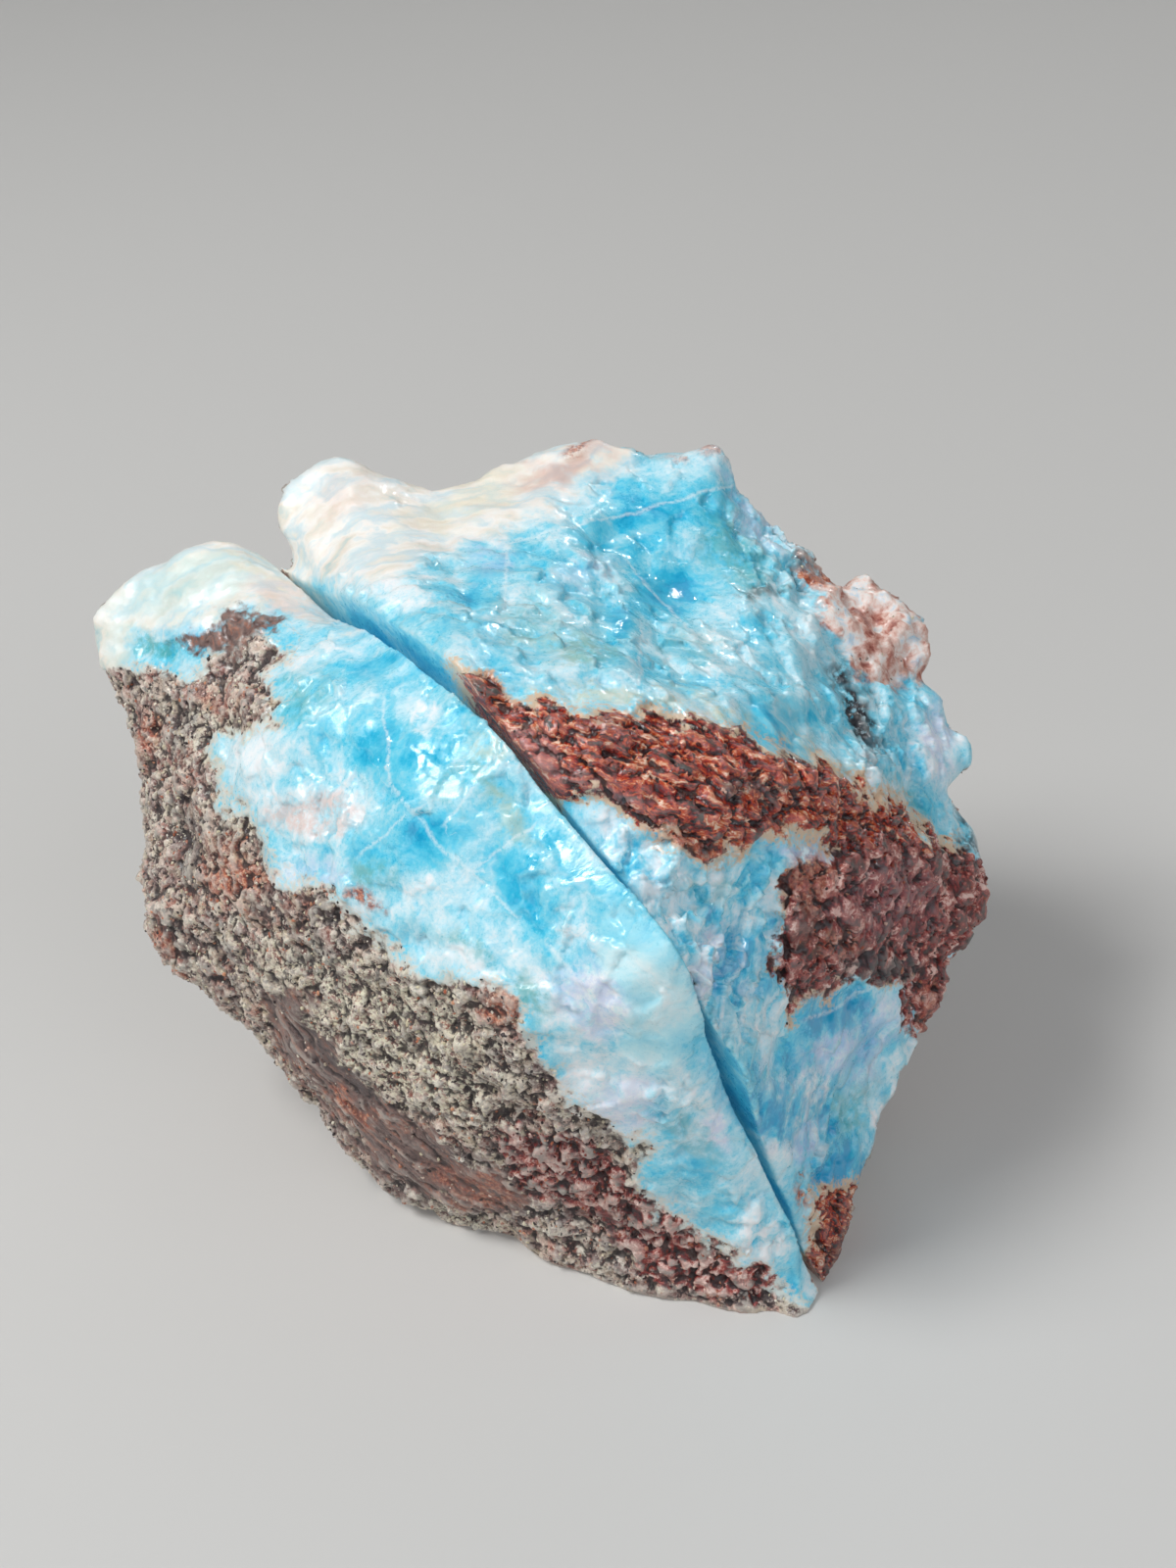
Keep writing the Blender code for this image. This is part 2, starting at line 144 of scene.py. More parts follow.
# Soft spots of each mark, the stone's stains and the painted shade alike: centre, half length, half width,
# turn in degrees, strength
FRONT_SPOTS = {
    "deep": (
        (388, 680, 46, 22, -20, 0.6), (400, 770, 46, 42, 0, 0.75), (455, 855, 66, 36, -35, 0.7),
        (525, 905, 62, 32, 48, 0.75), (583, 880, 46, 18, 58, 0.7), (700, 1168, 58, 32, 52, 0.8),
        (600, 985, 34, 12, 30, 0.5), (165, 662, 32, 11, -8, 0.4), (812, 1325, 14, 20, 60, 0.6),
    ),
    "teal": (
        (382, 893, 26, 18, 0, 0.9), (311, 705, 38, 28, -30, 0.7), (540, 1017, 28, 24, 0, 0.9),
        (470, 962, 46, 12, 25, 0.7), (700, 1160, 40, 24, 40, 0.5), (455, 800, 34, 12, -35, 0.5),
        (505, 800, 46, 14, 52, 0.7), (165, 662, 30, 11, -8, 1.0),
    ),
    "milk": (
        (270, 772, 58, 30, 0, 0.7), (316, 826, 66, 40, 10, 1.0), (320, 885, 40, 20, 0, 0.8),
        (320, 664, 62, 20, -20, 0.7), (440, 732, 20, 15, 0, 1.0), (352, 755, 36, 7, -40, 0.6),
        (430, 905, 60, 9, -38, 0.6), (596, 1030, 56, 44, 40, 0.9), (620, 1130, 56, 40, 30, 1.0),
        (772, 1262, 38, 34, 50, 1.0), (733, 1145, 30, 14, 75, 1.0), (575, 955, 36, 13, 40, 0.5),
        (480, 985, 56, 14, 20, 0.6), (520, 965, 40, 12, 35, 0.5),
    ),
    "pink": (
        (312, 832, 56, 26, 0, 0.9), (300, 615, 54, 20, 30, 0.5), (565, 1100, 36, 16, 30, 0.7),
        (700, 1235, 24, 12, 20, 0.4),
    ),
    "mint": ((190, 598, 100, 34, -14, 1.0), (128, 655, 34, 26, 0, 0.8)),
    "lavender": (
        (604, 1020, 48, 38, 40, 0.8), (733, 1145, 30, 14, 75, 0.8), (322, 888, 36, 18, 0, 0.6),
        (640, 1125, 44, 30, 0, 0.6), (215, 640, 34, 12, -10, 0.6),
    ),
    "straw": (
        (208, 778, 12, 36, 0, 1.0), (255, 742, 46, 8, -10, 0.8), (420, 1000, 66, 16, 12, 0.6),
        (492, 762, 30, 18, 42, 0.7), (520, 830, 50, 15, 50, 0.6), (270, 585, 60, 6, 28, 0.6),
    ),
    "rust": (
        (245, 897, 40, 28, 0, 1.0), (228, 868, 16, 22, 0, 0.7), (377, 918, 24, 11, 15, 1.0),
        (360, 1128, 34, 16, 35, 1.0), (485, 1210, 56, 17, 18, 0.6), (162, 965, 14, 24, 0, 0.9),
        (150, 745, 12, 34, 0, 0.7), (515, 1035, 30, 12, 60, 0.9), (190, 1005, 34, 12, 35, 0.7),
        (225, 715, 24, 14, 0, 0.4),
    ),
    # Painted shade: the lower faces are tinted a deeper sky blue, as if lit by the sky alone
    "sky_shade": ((620, 1010, 50, 30, 50, 0.4), (700, 1170, 50, 30, 50, 0.4)),
    "coal_and_shadow": (
        (180, 735, 26, 30, 0, 0.5), (190, 860, 16, 60, 0, 0.6), (226, 850, 12, 30, 0, 0.7),
        (172, 945, 24, 24, 0, 0.8), (320, 975, 34, 20, 0, 0.6), (345, 1085, 66, 12, 45, 0.6),
        (430, 1000, 40, 8, 15, 0.4), (560, 1170, 46, 22, 25, 0.4), (640, 1255, 30, 26, 0, 0.4),
    ),
    "speckle": (
        (400, 1060, 160, 76, 32, 1.0), (300, 985, 64, 30, 20, 0.8), (215, 745, 40, 30, 0, 0.5),
        (240, 820, 24, 60, 0, 0.6), (460, 1245, 60, 14, 10, 0.8),
    ),
    "torn": (
        (690, 1140, 40, 30, 50, 0.7), (770, 1255, 40, 34, 50, 1.0), (560, 930, 60, 14, 52, 0.6),
        (330, 820, 60, 40, 0, 0.4),
    ),
}
BACK_SPOTS = {
    # Deep turquoise of the stone; the spots in the recesses beside the slab, at (717, 930) and (765, 962),
    # and those on the lower right face are painted shade as well
    "deep": (
        (640, 540, 92, 32, -18, 0.6), (684, 602, 50, 30, -10, 1.0), (637, 637, 20, 20, 0, 1.0),
        (487, 597, 34, 16, -30, 0.7), (730, 520, 34, 24, 30, 0.6), (795, 735, 54, 34, 20, 0.9),
        (717, 930, 28, 20, 0, 1.0), (765, 962, 36, 12, -62, 0.9), (745, 1010, 38, 9, 80, 0.8),
        (808, 1135, 46, 40, 20, 1.0), (852, 1036, 34, 26, 0, 0.8), (862, 1195, 26, 40, 20, 0.9),
        (655, 690, 8, 24, 0, 0.7),
    ),
    # Painted shade: the lower faces turned from the window light are tinted a deeper sky blue, as if lit
    # by the sky alone
    "sky_shade": (
        (808, 1130, 56, 60, 20, 0.9), (860, 1050, 50, 50, 0, 0.6), (755, 980, 50, 60, -70, 0.6),
        (860, 1190, 40, 50, 20, 0.7), (930, 790, 60, 80, 0, 0.3), (640, 870, 60, 30, 40, 0.3),
    ),
    "teal": (
        (600, 660, 36, 16, 0, 0.9), (748, 560, 66, 30, 55, 0.7), (560, 640, 64, 30, 20, 0.5),
        (705, 655, 44, 24, 0, 0.45), (872, 1130, 44, 14, -65, 0.7), (920, 820, 40, 26, 30, 0.6),
        (720, 905, 50, 14, 10, 0.4),
    ),
    # Dark grey: mineral spots and dark veins, and the spot under the brown lump's ledge at (900, 990),
    # which is painted shadow
    "coal_and_shadow": (
        (876, 722, 66, 17, 66, 1.2), (772, 600, 30, 8, 8, 0.8), (815, 575, 10, 26, 0, 0.8),
        (988, 850, 40, 7, 70, 1.0), (900, 990, 52, 16, 3, 1.0), (812, 790, 8, 8, 0, 0.5),
        (775, 762, 84, 6, 20, 0.8), (765, 806, 44, 14, 5, 0.8), (605, 745, 34, 14, 0, 0.5),
        (820, 940, 16, 40, 0, 0.6), (872, 1285, 34, 50, 0, 0.7),
    ),
    "lavender": (
        (765, 520, 60, 20, 55, 0.6), (824, 870, 46, 13, 0, 1.0), (851, 1073, 40, 22, -20, 1.0),
        (822, 1175, 30, 12, -75, 1.0), (893, 1065, 66, 26, -65, 0.7), (728, 985, 40, 20, -80, 0.7),
        (500, 570, 22, 26, 0, 0.6), (960, 745, 22, 50, 0, 0.7), (998, 925, 10, 44, 0, 0.8),
        (600, 585, 40, 18, -20, 0.4),
    ),
    "milk": (
        (400, 585, 58, 36, 35, 0.9), (505, 545, 80, 12, -20, 0.8), (640, 850, 66, 22, 30, 1.0),
        (700, 892, 44, 16, 15, 0.9), (685, 925, 50, 26, 40, 0.9), (824, 870, 46, 13, 0, 0.8),
        (722, 985, 46, 18, -80, 1.0), (788, 940, 44, 12, 85, 0.9), (795, 1040, 20, 40, 0, 0.5),
        (860, 1070, 50, 36, -20, 0.5), (912, 1110, 84, 9, -66, 1.0), (718, 660, 54, 26, 0, 0.5),
        (840, 745, 30, 24, 0, 0.5), (960, 760, 26, 44, 0, 0.8), (905, 790, 50, 36, 20, 0.6),
        (620, 560, 70, 8, -22, 0.5), (800, 530, 30, 50, -30, 0.5),
    ),
    "pink": (
        (575, 482, 62, 15, -20, 0.9), (350, 510, 30, 24, 0, 0.3), (548, 768, 44, 22, 50, 0.9),
        (620, 805, 60, 12, 20, 0.6), (905, 925, 66, 44, -20, 1.0),
    ),
    "rust": (
        (826, 900, 26, 44, 10, 0.7), (845, 960, 40, 16, 10, 0.5), (595, 459, 26, 10, -15, 0.9),
        (712, 458, 38, 9, 0, 0.8), (835, 590, 18, 22, 0, 1.0), (818, 1216, 14, 9, 0, 1.2),
        (944, 1030, 44, 12, -65, 0.6), (700, 855, 60, 8, 15, 0.5), (925, 690, 14, 20, 0, 0.5),
        (505, 700, 30, 8, 20, 0.6),
    ),
    "straw": (
        (742, 727, 40, 9, 12, 1.0), (620, 708, 110, 7, 5, 0.9), (830, 768, 60, 7, 20, 0.8),
        (470, 515, 80, 20, -22, 0.6), (560, 655, 60, 14, 20, 0.4), (760, 870, 30, 8, 10, 0.6),
        (690, 700, 16, 12, 0, 0.6),
    ),
    "torn": (
        (735, 970, 80, 130, 10, 1.2), (660, 880, 80, 60, 40, 0.7), (790, 560, 40, 80, -35, 0.5),
        (900, 750, 60, 60, 0, 0.6), (840, 1180, 60, 30, -70, 0.4),
    ),
}

# Thin white veins, from point to point
FRONT_VEINS = (
    ((436, 847), (524, 934)), ((389, 715), (398, 792)), ((398, 795), (440, 850)),
    ((455, 838), (522, 752)), ((560, 960), (642, 1076)), ((596, 985), (664, 1046)),
    ((375, 868), (430, 822)), ((480, 890), (540, 842)),
)
BACK_VEINS = (
    ((515, 560), (515, 616)), ((515, 556), (742, 498)), ((640, 574), (700, 640)),
    ((700, 640), (762, 662)), ((655, 640), (652, 700)), ((730, 640), (732, 700)),
    ((770, 915), (742, 1030)), ((828, 1040), (930, 990)),
)

# Kinds on each half: kind, outline
FRONT_PATCHES = (
    ("brown", BROWN_STREAK),
    ("cream", FRONT_LUMP),
    ("brown", BROWN_PATCH),
    ("lump", FRONT_RED_ZONE),
    ("pale", PALE_FACETS),
)
BACK_PATCHES = (
    ("cream", CREAM_CAP),
    ("red", RED_BAND),
    ("lump", BROWN_LUMP),
    ("red", RED_TIP),
    ("knobs", KNOBS),
    ("lump", RIGHT_RIM),
)
KINDS = ("rind", "brown", "red", "lump", "cream", "knobs", "pale")
SPOT_MARK_NAMES = (
    "deep", "milk", "sky_shade", "teal", "lavender", "mint", "pink", "straw", "rust", "coal_and_shadow", "speckle",
    "torn",
)
BORDER_SOFTNESS = {
    "rind": 0.35, "brown": 0.5, "red": 0.2, "lump": 0.35, "cream": 1.3, "knobs": 0.7, "pale": 0.7,
}
DEEPEST = 4.0
BORDER_WANDER = ((60.0, 7.0), (22.0, 4.5), (9.0, 2.5))


def colour(code, alpha=1.0):
    """Linear colour of an sRGB hex code."""
    parts = [int(code[i : i + 2], 16) / 255.0 for i in (1, 3, 5)]
    linear = [c / 12.92 if c <= 0.04045 else ((c + 0.055) / 1.055) ** 2.4 for c in parts]
    return (*linear, alpha)


def add(tree, kind, inputs=(), stops=(), **settings):
    """Adds a node with its settings and colour stops, and fills its inputs.

    A node or an output that is given for an input is linked to it. The kinds that shaders
    and Geometry Nodes share are named without "ShaderNode" before them.
    """
    made = tree.nodes.new(kind if "Node" in kind else "ShaderNode" + kind)
    for name, value in settings.items():
        setattr(made, name, value)
    for key, value in dict(inputs).items():
        entry = made.inputs[key] if isinstance(key, int) else next(
            one for one in made.inputs if one.enabled and one.name == key
        )
        if isinstance(value, bpy.types.Node):
            value = next(one for one in value.outputs if one.enabled)
        if isinstance(value, bpy.types.NodeSocket):
            tree.links.new(value, entry)
        else:
            entry.default_value = value
    if stops:
        band = made.color_ramp.elements
        band.remove(band[1])
        band[0].position = stops[0][0]
        band[0].color = colour(stops[0][1])
        for position, code in stops[1:]:
            band.new(position).color = colour(code)
    return made


def along_grain(tree, place, turn, scales):
    """The place turned and drawn out, so that a pattern runs with the stone's grain."""
    turned = add(tree, "VectorRotate", {"Vector": place, "Rotation": turn}, rotation_type="EULER_XYZ")
    return add(tree, "VectorMath", {0: turned, 1: scales}, operation="MULTIPLY")


def bent_place(tree, place):
    """The place swayed by about 1 mm, so that no pattern stays regular."""
    sway = add(tree, "TexNoise", {"Vector": place, "Scale": 0.4, "Detail": 4.0})
    return add(
        tree,
        "VectorMath",
        {0: sway.outputs["Color"], 1: (2.4, 2.4, 2.4), 2: place},
        operation="MULTIPLY_ADD",
    )


def smooth_step(value, softness):
    part = np.clip(value / softness * 0.5 + 0.5, 0.0, 1.0)
    return part * part * (3.0 - 2.0 * part)


def wander(points, length, seed):
    """A gentle value from -1 to 1 that wanders over about this length."""
    chance = np.random.default_rng(seed)
    value = np.zeros(len(points))
    waves = 7
    for _ in range(waves):
        way = chance.normal(size=points.shape[1])
        way *= 2.0 * math.pi / (length * np.linalg.norm(way)) * chance.uniform(0.7, 1.5)
        value += np.sin(points @ way + chance.uniform(0.0, 2.0 * math.pi))
    return value / math.sqrt(waves) * 0.9


def segment_distance(points, start, end):
    start, end = np.array(start, float), np.array(end, float)
    run = end - start
    along = np.clip((points - start) @ run / (run @ run), 0.0, 1.0)
    return np.linalg.norm(points - start - along[:, None] * run, axis=1)


def depth_inside(points, outline):
    """Distance of each point to the outline, positive inside it."""
    nearest = np.full(len(points), np.inf)
    inside = np.zeros(len(points), bool)
    for start, end in zip(outline, outline[1:] + outline[:1]):
        nearest = np.minimum(nearest, segment_distance(points, start, end))
        crosses = (start[1] > points[:, 1]) != (end[1] > points[:, 1])
        rise = end[1] - start[1] or 1e-9
        crossing = start[0] + (points[:, 1] - start[1]) * (end[0] - start[0]) / rise
        inside ^= crosses & (points[:, 0] < crossing)
    return np.where(inside, nearest, -nearest)


def spot_depth(points, x, y, half_length, half_width, turn):
    """1 in the middle of an oval, 0 at its border and negative outside it."""
    turn = math.radians(turn)
    from_centre = points - np.array((x, y), float)
    along = from_centre @ np.array((math.cos(turn), math.sin(turn))) / half_length
    across = from_centre @ np.array((-math.sin(turn), math.cos(turn))) / half_width
    return 1.0 - np.hypot(along, across)


def in_view(places):
    """Each place's pixel in the laid out view."""
    from_eye = places - np.array(EYE)
    depth = from_eye @ np.array(FORWARD)
    scale = REACH / (MM_PER_PIXEL * MM)
    across = VIEW_SIZE[0] / 2 + from_eye @ np.array(RIGHT) / depth * scale
    down = VIEW_SIZE[1] / 2 - from_eye @ np.array(UP) / depth * scale
    return np.column_stack([across, down])


def saw_normal():
    trace = RIGHT * math.cos(CUT_TRACE) + UP * math.sin(CUT_TRACE)
    return trace * math.cos(CUT_TILT) + FORWARD * math.sin(CUT_TILT)


def new_piece(name, mesh):
    """A piece at the origin, linked into the scene."""
    piece = bpy.data.objects.new(name, mesh)
    bpy.context.scene.collection.objects.link(piece)
    return piece


def finished(piece):
    """Takes the result of the piece's modifiers into its mesh."""
    graph = bpy.context.evaluated_depsgraph_get()
    mesh = bpy.data.meshes.new_from_object(piece.evaluated_get(graph))
    old = piece.data
    piece.modifiers.clear()
    piece.data = mesh
    bpy.data.meshes.remove(old)


def skin_of(node, name):
    """A fine even mesh on a half's solid, with the solid's own facets smoothed away."""
    mesh = bpy.data.meshes.new(name)
    solid = bmesh.new()
    solid.from_mesh(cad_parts[node].data)
    bmesh.ops.remove_doubles(solid, verts=solid.verts, dist=1e-6)
    solid.to_mesh(mesh)
    solid.free()
    piece = new_piece(name, mesh)
    remesh = piece.modifiers.new("skin", "REMESH")
    remesh.mode = "VOXEL"
    remesh.voxel_size = SKIN_GRAIN
    smooth = piece.modifiers.new("facets", "SMOOTH")
    smooth.factor = 0.5
    smooth.iterations = FACET_ROUNDS
    finished(piece)
    return piece


def points_of(mesh):
    """Every point's place and normal."""
    places = np.empty(len(mesh.vertices) * 3, np.float32)
    normals = np.empty(len(mesh.vertices) * 3, np.float32)
    mesh.vertices.foreach_get("co", places)
    mesh.vertex_normals.foreach_get("vector", normals)
    return places.reshape(-1, 3).astype(float), normals.reshape(-1, 3).astype(float)


def store(mesh, name, values):
    mark = mesh.attributes.new(name, "FLOAT", "POINT")
    mark.data.foreach_set("value", np.asarray(values, np.float32))


def stored(mesh, name):
    values = np.empty(len(mesh.vertices), np.float32)
    mesh.attributes[name].data.foreach_get("value", values)
    return values


def vein_marks(seen, veins):
    """Side and distance of the nearest vein, in millimetres, and how near it runs."""
    side = np.full(len(seen), 1e6)
    near = np.zeros(len(seen))
    for start, end in veins:
        start, end = np.array(start, float), np.array(end, float)
        run = end - start
        length = np.linalg.norm(run)
        run /= length
        along = (seen - start) @ run
        across = (seen - start) @ np.array((-run[1], run[0]))
        beyond = np.maximum(np.maximum(-along, along - length), 0.0)
        closer = np.hypot(across, beyond) < np.abs(side)
        side = np.where(closer, across, side)
        fade = np.clip(1.0 - beyond / 14.0, 0.0, 1.0) * np.clip(2.0 - np.abs(across) / 9.0, 0.0, 1.0)
        near = np.where(closer, fade, near)
    return np.clip(side * MM_PER_PIXEL, -DEEPEST, DEEPEST), near


def crust_depth(places, sawn, rind):
    """On the sawn face, how deep each point lies in the section of the crust."""
    outside = np.flatnonzero((sawn < 0.1) & (rind > 0.4))[::6]
    tree = kdtree.KDTree(len(outside))
    for number, index in enumerate(outside):
        tree.insert(places[index], number)
    tree.balance()
    depth = rind.copy()
    for index in np.flatnonzero(sawn > 0.02):
        _, _, distance = tree.find(places[index])
        depth[index] = CRUST_IN_SECTION - distance / MM
    return depth


def paint_marks(piece, patches, spots, veins, outward, whole_crust):
    """Stores kinds as depths in millimetres, and spot marks from 0 to 1 (stains, and painted shade), on
    every point.
    """
    mesh = piece.data
    places, normals = points_of(mesh)
    seen = in_view(places)
    in_mm = places / MM
    astray = seen.copy()
    for number, (length, width) in enumerate(BORDER_WANDER):
        span = length * MM_PER_PIXEL
        astray[:, 0] += width * wander(in_mm, span, 10 + number)
        astray[:, 1] += width * wander(in_mm, span, 20 + number)
    depths = {kind: np.full(len(places), -DEEPEST) for kind in KINDS}
    if whole_crust:
        depths["rind"] = -depth_inside(astray, FRONT_BLUE) * MM_PER_PIXEL
    for kind, outline in patches:
        inside = depth_inside(astray, outline) * MM_PER_PIXEL
        depths[kind] = np.maximum(depths[kind], inside)
    spot_marks = {name: np.zeros(len(places)) for name in SPOT_MARK_NAMES}
    for name, found in spots.items():
        for *oval, strength in found:
            depth = spot_depth(astray, *oval)
            spot_marks[name] = np.maximum(spot_marks[name], strength * smooth_step(depth - 0.2, 0.4))

    # What the view doesn't reach is rind, with windows of blue and patches of red rock
    to_eye = np.array(EYE) - places
    to_eye /= np.linalg.norm(to_eye, axis=1)[:, None]
    facing = (normals * to_eye).sum(axis=1)
    hidden = smooth_step(-facing - 0.30 + 0.12 * wander(in_mm, 8.0, 31), 0.14)
    behind = {
        "rind": 0.95 - wander(in_mm, 30.0, 41),
        "red": wander(in_mm, 21.0, 43) - 0.60,
        "brown": wander(in_mm, 15.0, 47) - 0.50,
        "lump": wander(in_mm, 17.0, 61) - 0.80,
        "cream": wander(in_mm, 19.0, 67) - 0.95,
    }
    torn_border = 0.30 * wander(in_mm, 6.0, 97) + 0.16 * wander(in_mm, 2.4, 101)
    for kind in KINDS:
        there = np.clip((behind.get(kind, -1.5) + torn_border) * 7.0, -DEEPEST, DEEPEST)
        depths[kind] = np.clip(depths[kind], -DEEPEST, DEEPEST) * (1.0 - hidden) + there * hidden
    astir = {
        "deep": wander(in_mm, 11.0, 71) * 1.2,
        "milk": wander(in_mm, 9.0, 73) * 1.2,
        "speckle": wander(in_mm, 12.0, 53) + 0.3,
        "rust": wander(in_mm, 6.5, 59) * 1.6 - 0.7,
        "coal_and_shadow": wander(in_mm, 7.5, 79) * 1.6 - 0.7,
        "lavender": wander(in_mm, 10.0, 83) - 0.2,
        "torn": wander(in_mm, 13.0, 89) * 1.5 - 0.4,
    }
    for name in SPOT_MARK_NAMES:
        there = np.clip(astir.get(name, 0.0), 0.0, 1.0)
        spot_marks[name] = spot_marks[name] * (1.0 - hidden) + there * hidden

    level = places @ outward
    flush = smooth_step(0.6 * MM - (level.max() - level), 0.3 * MM)
    sawn = flush * smooth_step(normals @ outward - 0.8, 0.15)
    depths["rind"] = crust_depth(places, sawn, depths["rind"])
    side, near = vein_marks(astray * 0.25 + seen * 0.75, veins)
    for kind, values in depths.items():
        store(mesh, kind, np.clip(values, -DEEPEST, DEEPEST))
    for name, values in spot_marks.items():
        store(mesh, name, values)
    store(mesh, "sawn", sawn)
    store(mesh, "base", smooth_step(0.5 * MM - places[:, 2], 0.4 * MM))
    store(mesh, "vein_side", side)
    store(mesh, "vein_near", near * (1.0 - hidden))


def leaning_facets(tree, where, size, steepness):
    """Height of flat facets of about this size, each leaning its own way."""
    cell = add(
        tree,
        "TexVoronoi",
        {"Vector": where, "Scale": 1.0 / size, "Smoothness": 0.12},
        feature="SMOOTH_F1",
    )
    lean = add(tree, "VectorMath", {0: cell.outputs["Color"], 1: (0.5, 0.5, 0.5)}, operation="SUBTRACT")
    from_middle = add(tree, "VectorMath", {0: where, 1: cell.outputs["Position"]}, operation="SUBTRACT")
    rise = add(tree, "VectorMath", {0: from_middle, 1: lean}, operation="DOT_PRODUCT")
    return add(tree, "Math", {0: rise, 1: steepness}, operation="MULTIPLY")


def swell(tree, where, scale, height, detail=4.0, roughness=0.6):
    """Height of rounded lumps and dips, from about minus to plus half of this."""
    noise = add(
        tree, "TexNoise", {"Vector": where, "Scale": scale, "Detail": detail, "Roughness": roughness}
    )
    return add(tree, "Math", {0: noise, 1: 2.0 * height, 2: -height}, operation="MULTIPLY_ADD")


def crevices(tree, where, scale, depth, width=0.06):
    """Height of sharp cracks that follow a wandering line."""
    noise = add(tree, "TexNoise", {"Vector": where, "Scale": scale, "Detail": 3.0})
    off = add(tree, "Math", {0: noise, 1: 0.5}, operation="SUBTRACT")
    off = add(tree, "Math", {0: off}, operation="ABSOLUTE")
    return add(
        tree,
        "MapRange",
        {"Value": off, "From Min": 0.0, "From Max": width, "To Min": -depth, "To Max": 0.0},
        interpolation_type="SMOOTHSTEP",
    )


def crumbs(tree, where, size, height):
    """Height of rounded grains of about this size, of which each stands its own height."""
    cell = add(tree, "TexVoronoi", {"Vector": where, "Scale": 1.0 / size})
    own = add(tree, "FunctionNodeSeparateColor", {0: cell.outputs["Color"]})
    dome = add(
        tree,
        "MapRange",
        {
            "Value": cell.outputs["Distance"],
            "From Min": 0.1,
            "From Max": 0.62,
            "To Min": 1.0,
            "To Max": 0.0,
        },
        interpolation_type="SMOOTHSTEP",
    )
    tall = add(tree, "Math", {0: own.outputs[0], 1: 2.0, 2: -0.9}, operation="MULTIPLY_ADD")
    stand = add(tree, "Math", {0: dome, 1: tall}, operation="MULTIPLY")
    return add(tree, "Math", {0: stand, 1: height}, operation="MULTIPLY")


def total(tree, *heights):
    found = heights[0]
    for height in heights[1:]:
        found = add(tree, "Math", {0: found, 1: height}, operation="ADD")
    return found


def open_tree(name, inputs):
    """A tree of Geometry Nodes with these named inputs, and the node that gives them."""
    tree = bpy.data.node_groups.new(name, "GeometryNodeTree")
    for label, kind in (("Geometry", "Geometry"), *inputs, ("Stone", "Material")):
        tree.interface.new_socket(label, in_out="INPUT", socket_type="NodeSocket" + kind)
    tree.interface.new_socket("Geometry", in_out="OUTPUT", socket_type="NodeSocketGeometry")
    return tree, add(tree, "NodeGroupInput")


def close_tree(tree, entry, geometry):
    """Ends a tree with real meshes of the stone's material."""
    whole = add(tree, "GeometryNodeRealizeInstances", {"Geometry": geometry})
    stone = entry.outputs["Stone"]
    dressed = add(tree, "GeometryNodeSetMaterial", {"Geometry": whole, "Material": stone})
    leave = add(tree, "NodeGroupOutput")
    tree.links.new(dressed.outputs[0], leave.inputs[0])
    return tree


